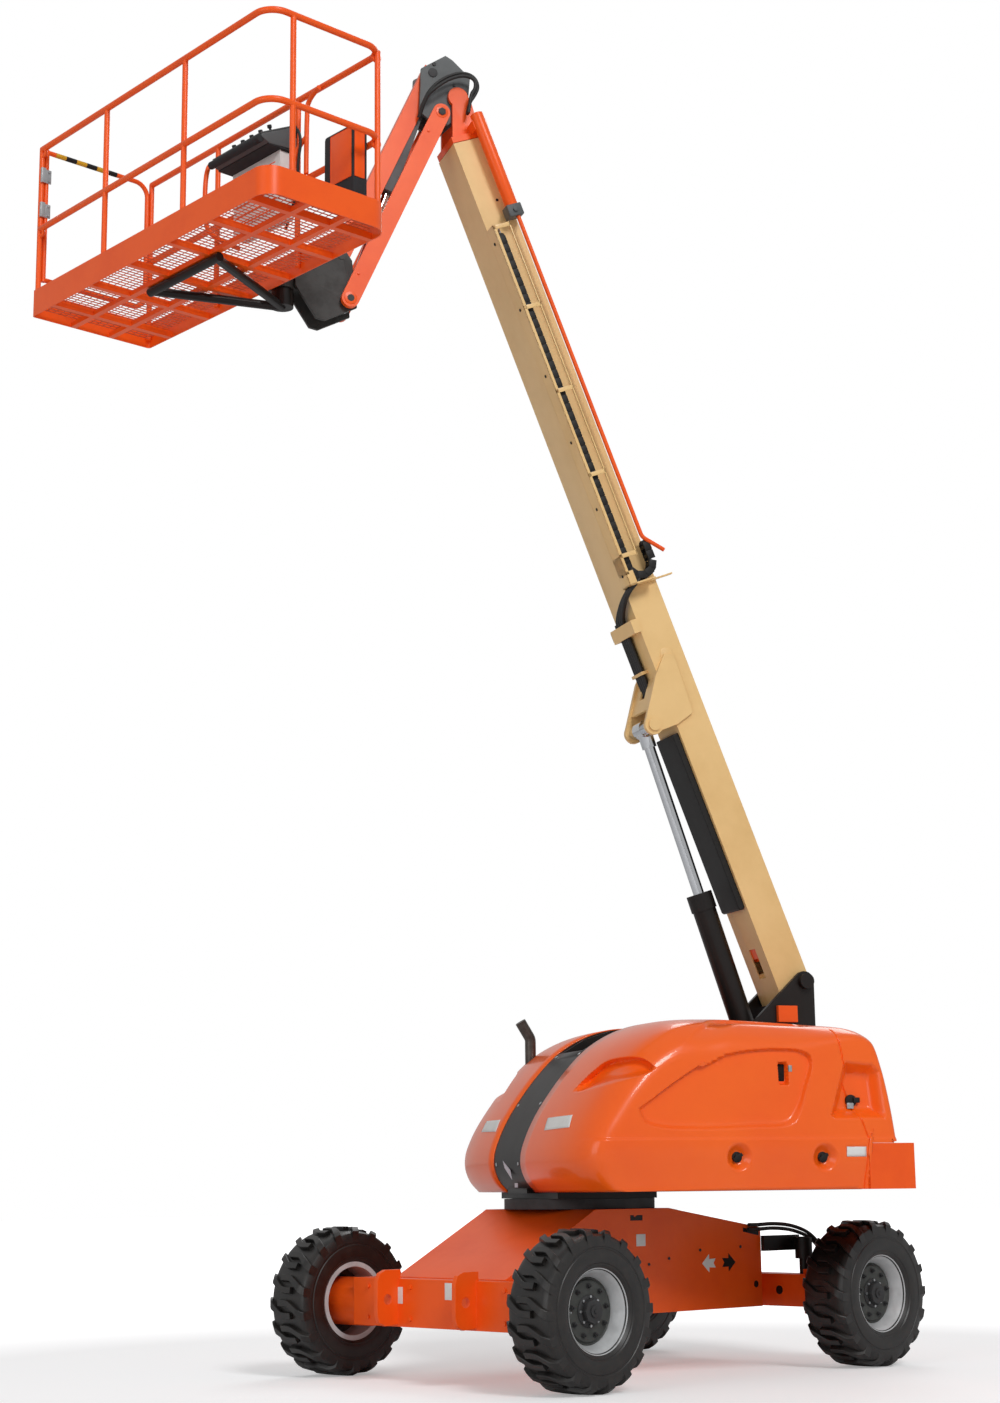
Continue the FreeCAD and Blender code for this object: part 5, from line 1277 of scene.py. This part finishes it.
def headHardware(shape):
    # keeper plates on the pins and the bolt at the head's top
    for side in (1, -1):
        addRound(shape, (0.115, side * 0.1428, -0.125), (0.115, side * 0.15, -0.125), 0.026, 6, bevel=0.002)
        addRound(shape, (0.16, side * 0.096, 0.155), (0.16, side * 0.1025, 0.155), 0.03, 20, bevel=0.003)
        addRound(shape, (0.152, side * 0.095, 0.214), (0.152, side * 0.102, 0.214), 0.013, 6, bevel=0.001)
        addRound(shape, (0.02, side * 0.095, 0.09), (0.02, side * 0.102, 0.09), 0.01, 6, bevel=0.001)


fit("headHardware", headHardware, "castIron", "jib_head", headFrame)


def armHardware(shape):
    # bolts along the lower arms and their end bosses
    for side in (1, -1):
        for along in (0.0, 1.437):
            addRound(shape, (along, side * 0.139, 0), (along, side * 0.1425, 0), 0.04, 28, bevel=0.002)
        for along in (0.165, 1.27):
            addRound(shape, (along, side * 0.139, 0.022), (along, side * 0.145, 0.022), 0.009, 6,
                bevel=0.001)


fit("armHardware", armHardware, "powderOrange", "lower_arms", lowerArmFrame)
print("boom fitted out")


# platform, in its own frame: away from the rotator, along it, up from the floor's underside

def floorSlat(shape):
    addBox(shape, (0.197, -0.0035, 0.0405), (0.965, 0.0035, 0.0443))


def floorWire(shape):
    addBox(shape, (-0.002, -1.174, 0.0403), (0.002, 1.174, 0.043))


gratingSizes = {"slats": 69, "slatStart": -1.165, "slatPitch": 0.0343, "wires": 17, "wireStart": 0.225,
    "wirePitch": 0.0445}
slats = repeated(meshFrom("floorSlats", floorSlat, "meshSteel",
    Matrix.Translation((0, gratingSizes["slatStart"], 0))), gratingSizes["slats"],
    move=(0, gratingSizes["slatPitch"], 0))
wires = repeated(meshFrom("floorWires", floorWire, "meshSteel",
    Matrix.Translation((gratingSizes["wireStart"], 0, 0))), gratingSizes["wires"],
    move=(gratingSizes["wirePitch"], 0, 0))
grating = joinedPiece("floorGrating", [slats, wires], 30)
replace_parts(settle(grating, "platform", platformFrame), "floor_mesh")


def consoleBody(shape):
    # sloped control housing with its skirt
    addPlate(shape, [(0.196, 0.775), (0.395, 0.762), (0.455, 0.788), (0.45, 0.81), (0.25, 0.905),
        (0.196, 0.905)], -0.12, 0.4, 0.008)


def consoleFoam(shape):
    addRound(shape, (0.458, -0.115, 0.777), (0.458, 0.395, 0.777), 0.024, 24, bevel=0.006)
    addRound(shape, (0.215, -0.125, 0.915), (0.215, 0.405, 0.915), 0.02, 24, bevel=0.006)
    addBox(shape, (0.2, -0.118, 0.757), (0.4, 0.398, 0.766), 0.002)
    for across in (-0.03, 0.06, 0.15, 0.24, 0.33):
        addRound(shape, (0.33, across, 0.862), (0.345, across, 0.9), 0.008, 12)
        addRound(shape, (0.345, across, 0.898), (0.35, across, 0.916), 0.014, 14, bevel=0.003)


def consoleTop(shape):
    addPlate(shape, [(0.235, 0.916), (0.448, 0.813), (0.452, 0.82), (0.239, 0.924)], -0.108, 0.388, 0.002)


def documentBox(shape):
    addBox(shape, (0.1935, -0.1, 0.335), (0.3, 0.38, 0.756), 0.012)
    addBox(shape, (0.298, -0.102, 0.64), (0.305, 0.382, 0.756), 0.004)


def consoleRibs(shape):
    for height in (0.4, 0.46, 0.52, 0.69):
        addBox(shape, (0.2995, -0.06, height), (0.3065, 0.335, height + 0.006), 0.001)
    for across in (-0.05, 0.32):
        addBox(shape, (0.1935, across - 0.012, 0.74), (0.23, across + 0.012, 0.8), 0.002)


console = joinedPiece("console", [
    meshFrom("consoleBody", consoleBody, "bracketGrey"), meshFrom("consoleFoam", consoleFoam, "foamBlack"),
    meshFrom("consoleTop", consoleTop, "bracketGrey"), meshFrom("documentBox", documentBox, "whiteVinyl"),
    meshFrom("consoleRibs", consoleRibs, "powderOrange")])
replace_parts(settle(console, "platform", platformFrame), "platform_console")

guards = {
    "consoleGuard": [(0.205, -0.165, 0.86), (0.405, -0.165, 0.842), (0.462, -0.165, 0.76),
        (0.462, -0.165, 0.43), (0.41, -0.165, 0.345), (0.205, -0.165, 0.33)],
    "handPost": [(0.2, 0.5, 0.59), (0.2, 0.5, 0.98), (0.205, 0.53, 1.06), (0.215, 0.64, 1.085)],
    "postBrace": [(0.2, 0.495, 0.82), (0.235, 0.44, 0.76), (0.235, 0.43, 0.6), (0.2, 0.47, 0.47)],
}
for name, points in guards.items():
    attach(curveTube(name, points, 0.015, "powderOrange", platformFrame), "platform")
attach(curveTube("guardCable", [(0.22, 0.42, 0.84), (0.25, 0.46, 0.9), (0.235, 0.5, 0.8),
    (0.24, 0.47, 0.66), (0.21, 0.44, 0.5), (0.2, 0.3, 0.3)], 0.009, "hoseRubber", platformFrame),
    "platform")

# little rings that close the rails at their two free corners
for number, height in enumerate((1.109, 0.575)):
    for word, at, heading in (("Far", (0.194, 1.15), (-1, 0)), ("Near", (0.988, -1.18), (0, -1))):
        ring = [(at[0] + heading[0] * 0.026 * math.cos(math.radians(a)),
            at[1] + heading[1] * 0.026 * math.cos(math.radians(a)), height - 0.026
            + 0.026 * math.sin(math.radians(a))) for a in range(0, 360, 30)]
        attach(curveTube(f"railLoop{word}{number}", ring, 0.01, "powderOrange", platformFrame,
            cyclic=True), "platform")


def gateSleeve(shape, starts):
    # bands on the gate's top bar, yellow between black
    for along in starts:
        addRound(shape, (along, -1.1967, 1.101), (along + 0.075, -1.1967, 1.101), 0.0156, 20, bevel=0.001)


for word, starts, finish in (("Yellow", (0.52, 0.67, 0.82), "signalYellow"),
        ("Black", (0.445, 0.595, 0.745), "blackAbs")):
    fit("gateSleeve" + word, lambda s: gateSleeve(s, starts), finish, "gate", platformFrame)


def gateHinges(shape):
    for height in (0.93, 0.7):
        addBox(shape, (0.972, -1.184, height - 0.05), (1.004, -1.166, height + 0.05), 0.004)
        addBox(shape, (0.93, -1.182, height - 0.045), (0.974, -1.176, height + 0.045), 0.002)
        for lift in (-0.03, 0.03):
            addRound(shape, (0.945, -1.177, height + lift), (0.945, -1.17, height + lift), 0.008, 6,
                bevel=0.001)


fit("gateHinges", gateHinges, "zincPlate", "platform", platformFrame)


def sideBox(shape):
    addBox(shape, (0.1936, 0.8, 0.225), (0.3, 1.075, 0.675), 0.02)


def sidePanel(shape):
    addBox(shape, (0.2985, 0.868, 0.35), (0.304, 1.058, 0.655), 0.006)
    addBox(shape, (0.22, 1.0735, 0.35), (0.29, 1.079, 0.655), 0.006)


boxPiece = joinedPiece("sideBox", [meshFrom("sideBoxBody", sideBox, "foamBlack"),
    meshFrom("sideBoxPanel", sidePanel, "powderOrange")])
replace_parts(settle(boxPiece, "platform", platformFrame), "platform_box")
print("platform fitted out")


# plates and tubes that keep their solid's shape, with eased edges: finish, edge width in mm

platework = {
    "chassis_frame": ("powderOrange", 5), "slew_bearing": ("castIron", 3),
    "fixed_axle": ("powderOrange", 4), "steer_axle": ("powderOrange", 4),
    "lock_cylinder_left": ("satinBlack", 3), "lock_cylinder_right": ("satinBlack", 3),
    "knuckle_left": ("satinBlack", 4), "knuckle_right": ("satinBlack", 4), "tie_rod": ("satinBlack", 2),
    "turntable_base": ("satinBlack", 4), "counterweight": ("powderOrange", 14),
    "engine_block": ("castIron", 10), "hydraulic_tank": ("satinBlack", 12),
    "riser_box": ("powderOrange", 3), "exhaust_pipe": ("scorchedSteel", 1),
    "base_boom": ("creamEnamel", 4), "boom_hose_cover": ("blackAbs", 6),
    "lift_barrel": ("satinBlack", 3), "lift_rod": ("hardChrome", 2), "fly_boom": ("powderOrange", 4),
    "push_tube": ("powderOrange", 2), "jib_head": ("bracketGrey", 3),
    "jib_lower_arm_left": ("powderOrange", 4), "jib_lower_arm_right": ("powderOrange", 4),
    "jib_upper_arm": ("powderOrange", 4), "jib_foot": ("jibIron", 3), "jib_barrel": ("bracketGrey", 5),
    "jib_rod": ("hardChrome", 2), "platform_floor": ("powderOrange", 2),
    "platform_rails": ("powderOrange", 1), "platform_gate": ("powderOrange", 1),
    "platform_support": ("satinBlack", 2),
}
for node, (finish, edge) in platework.items():
    softened(node, finish, edge / 1000)
print("platework eased")
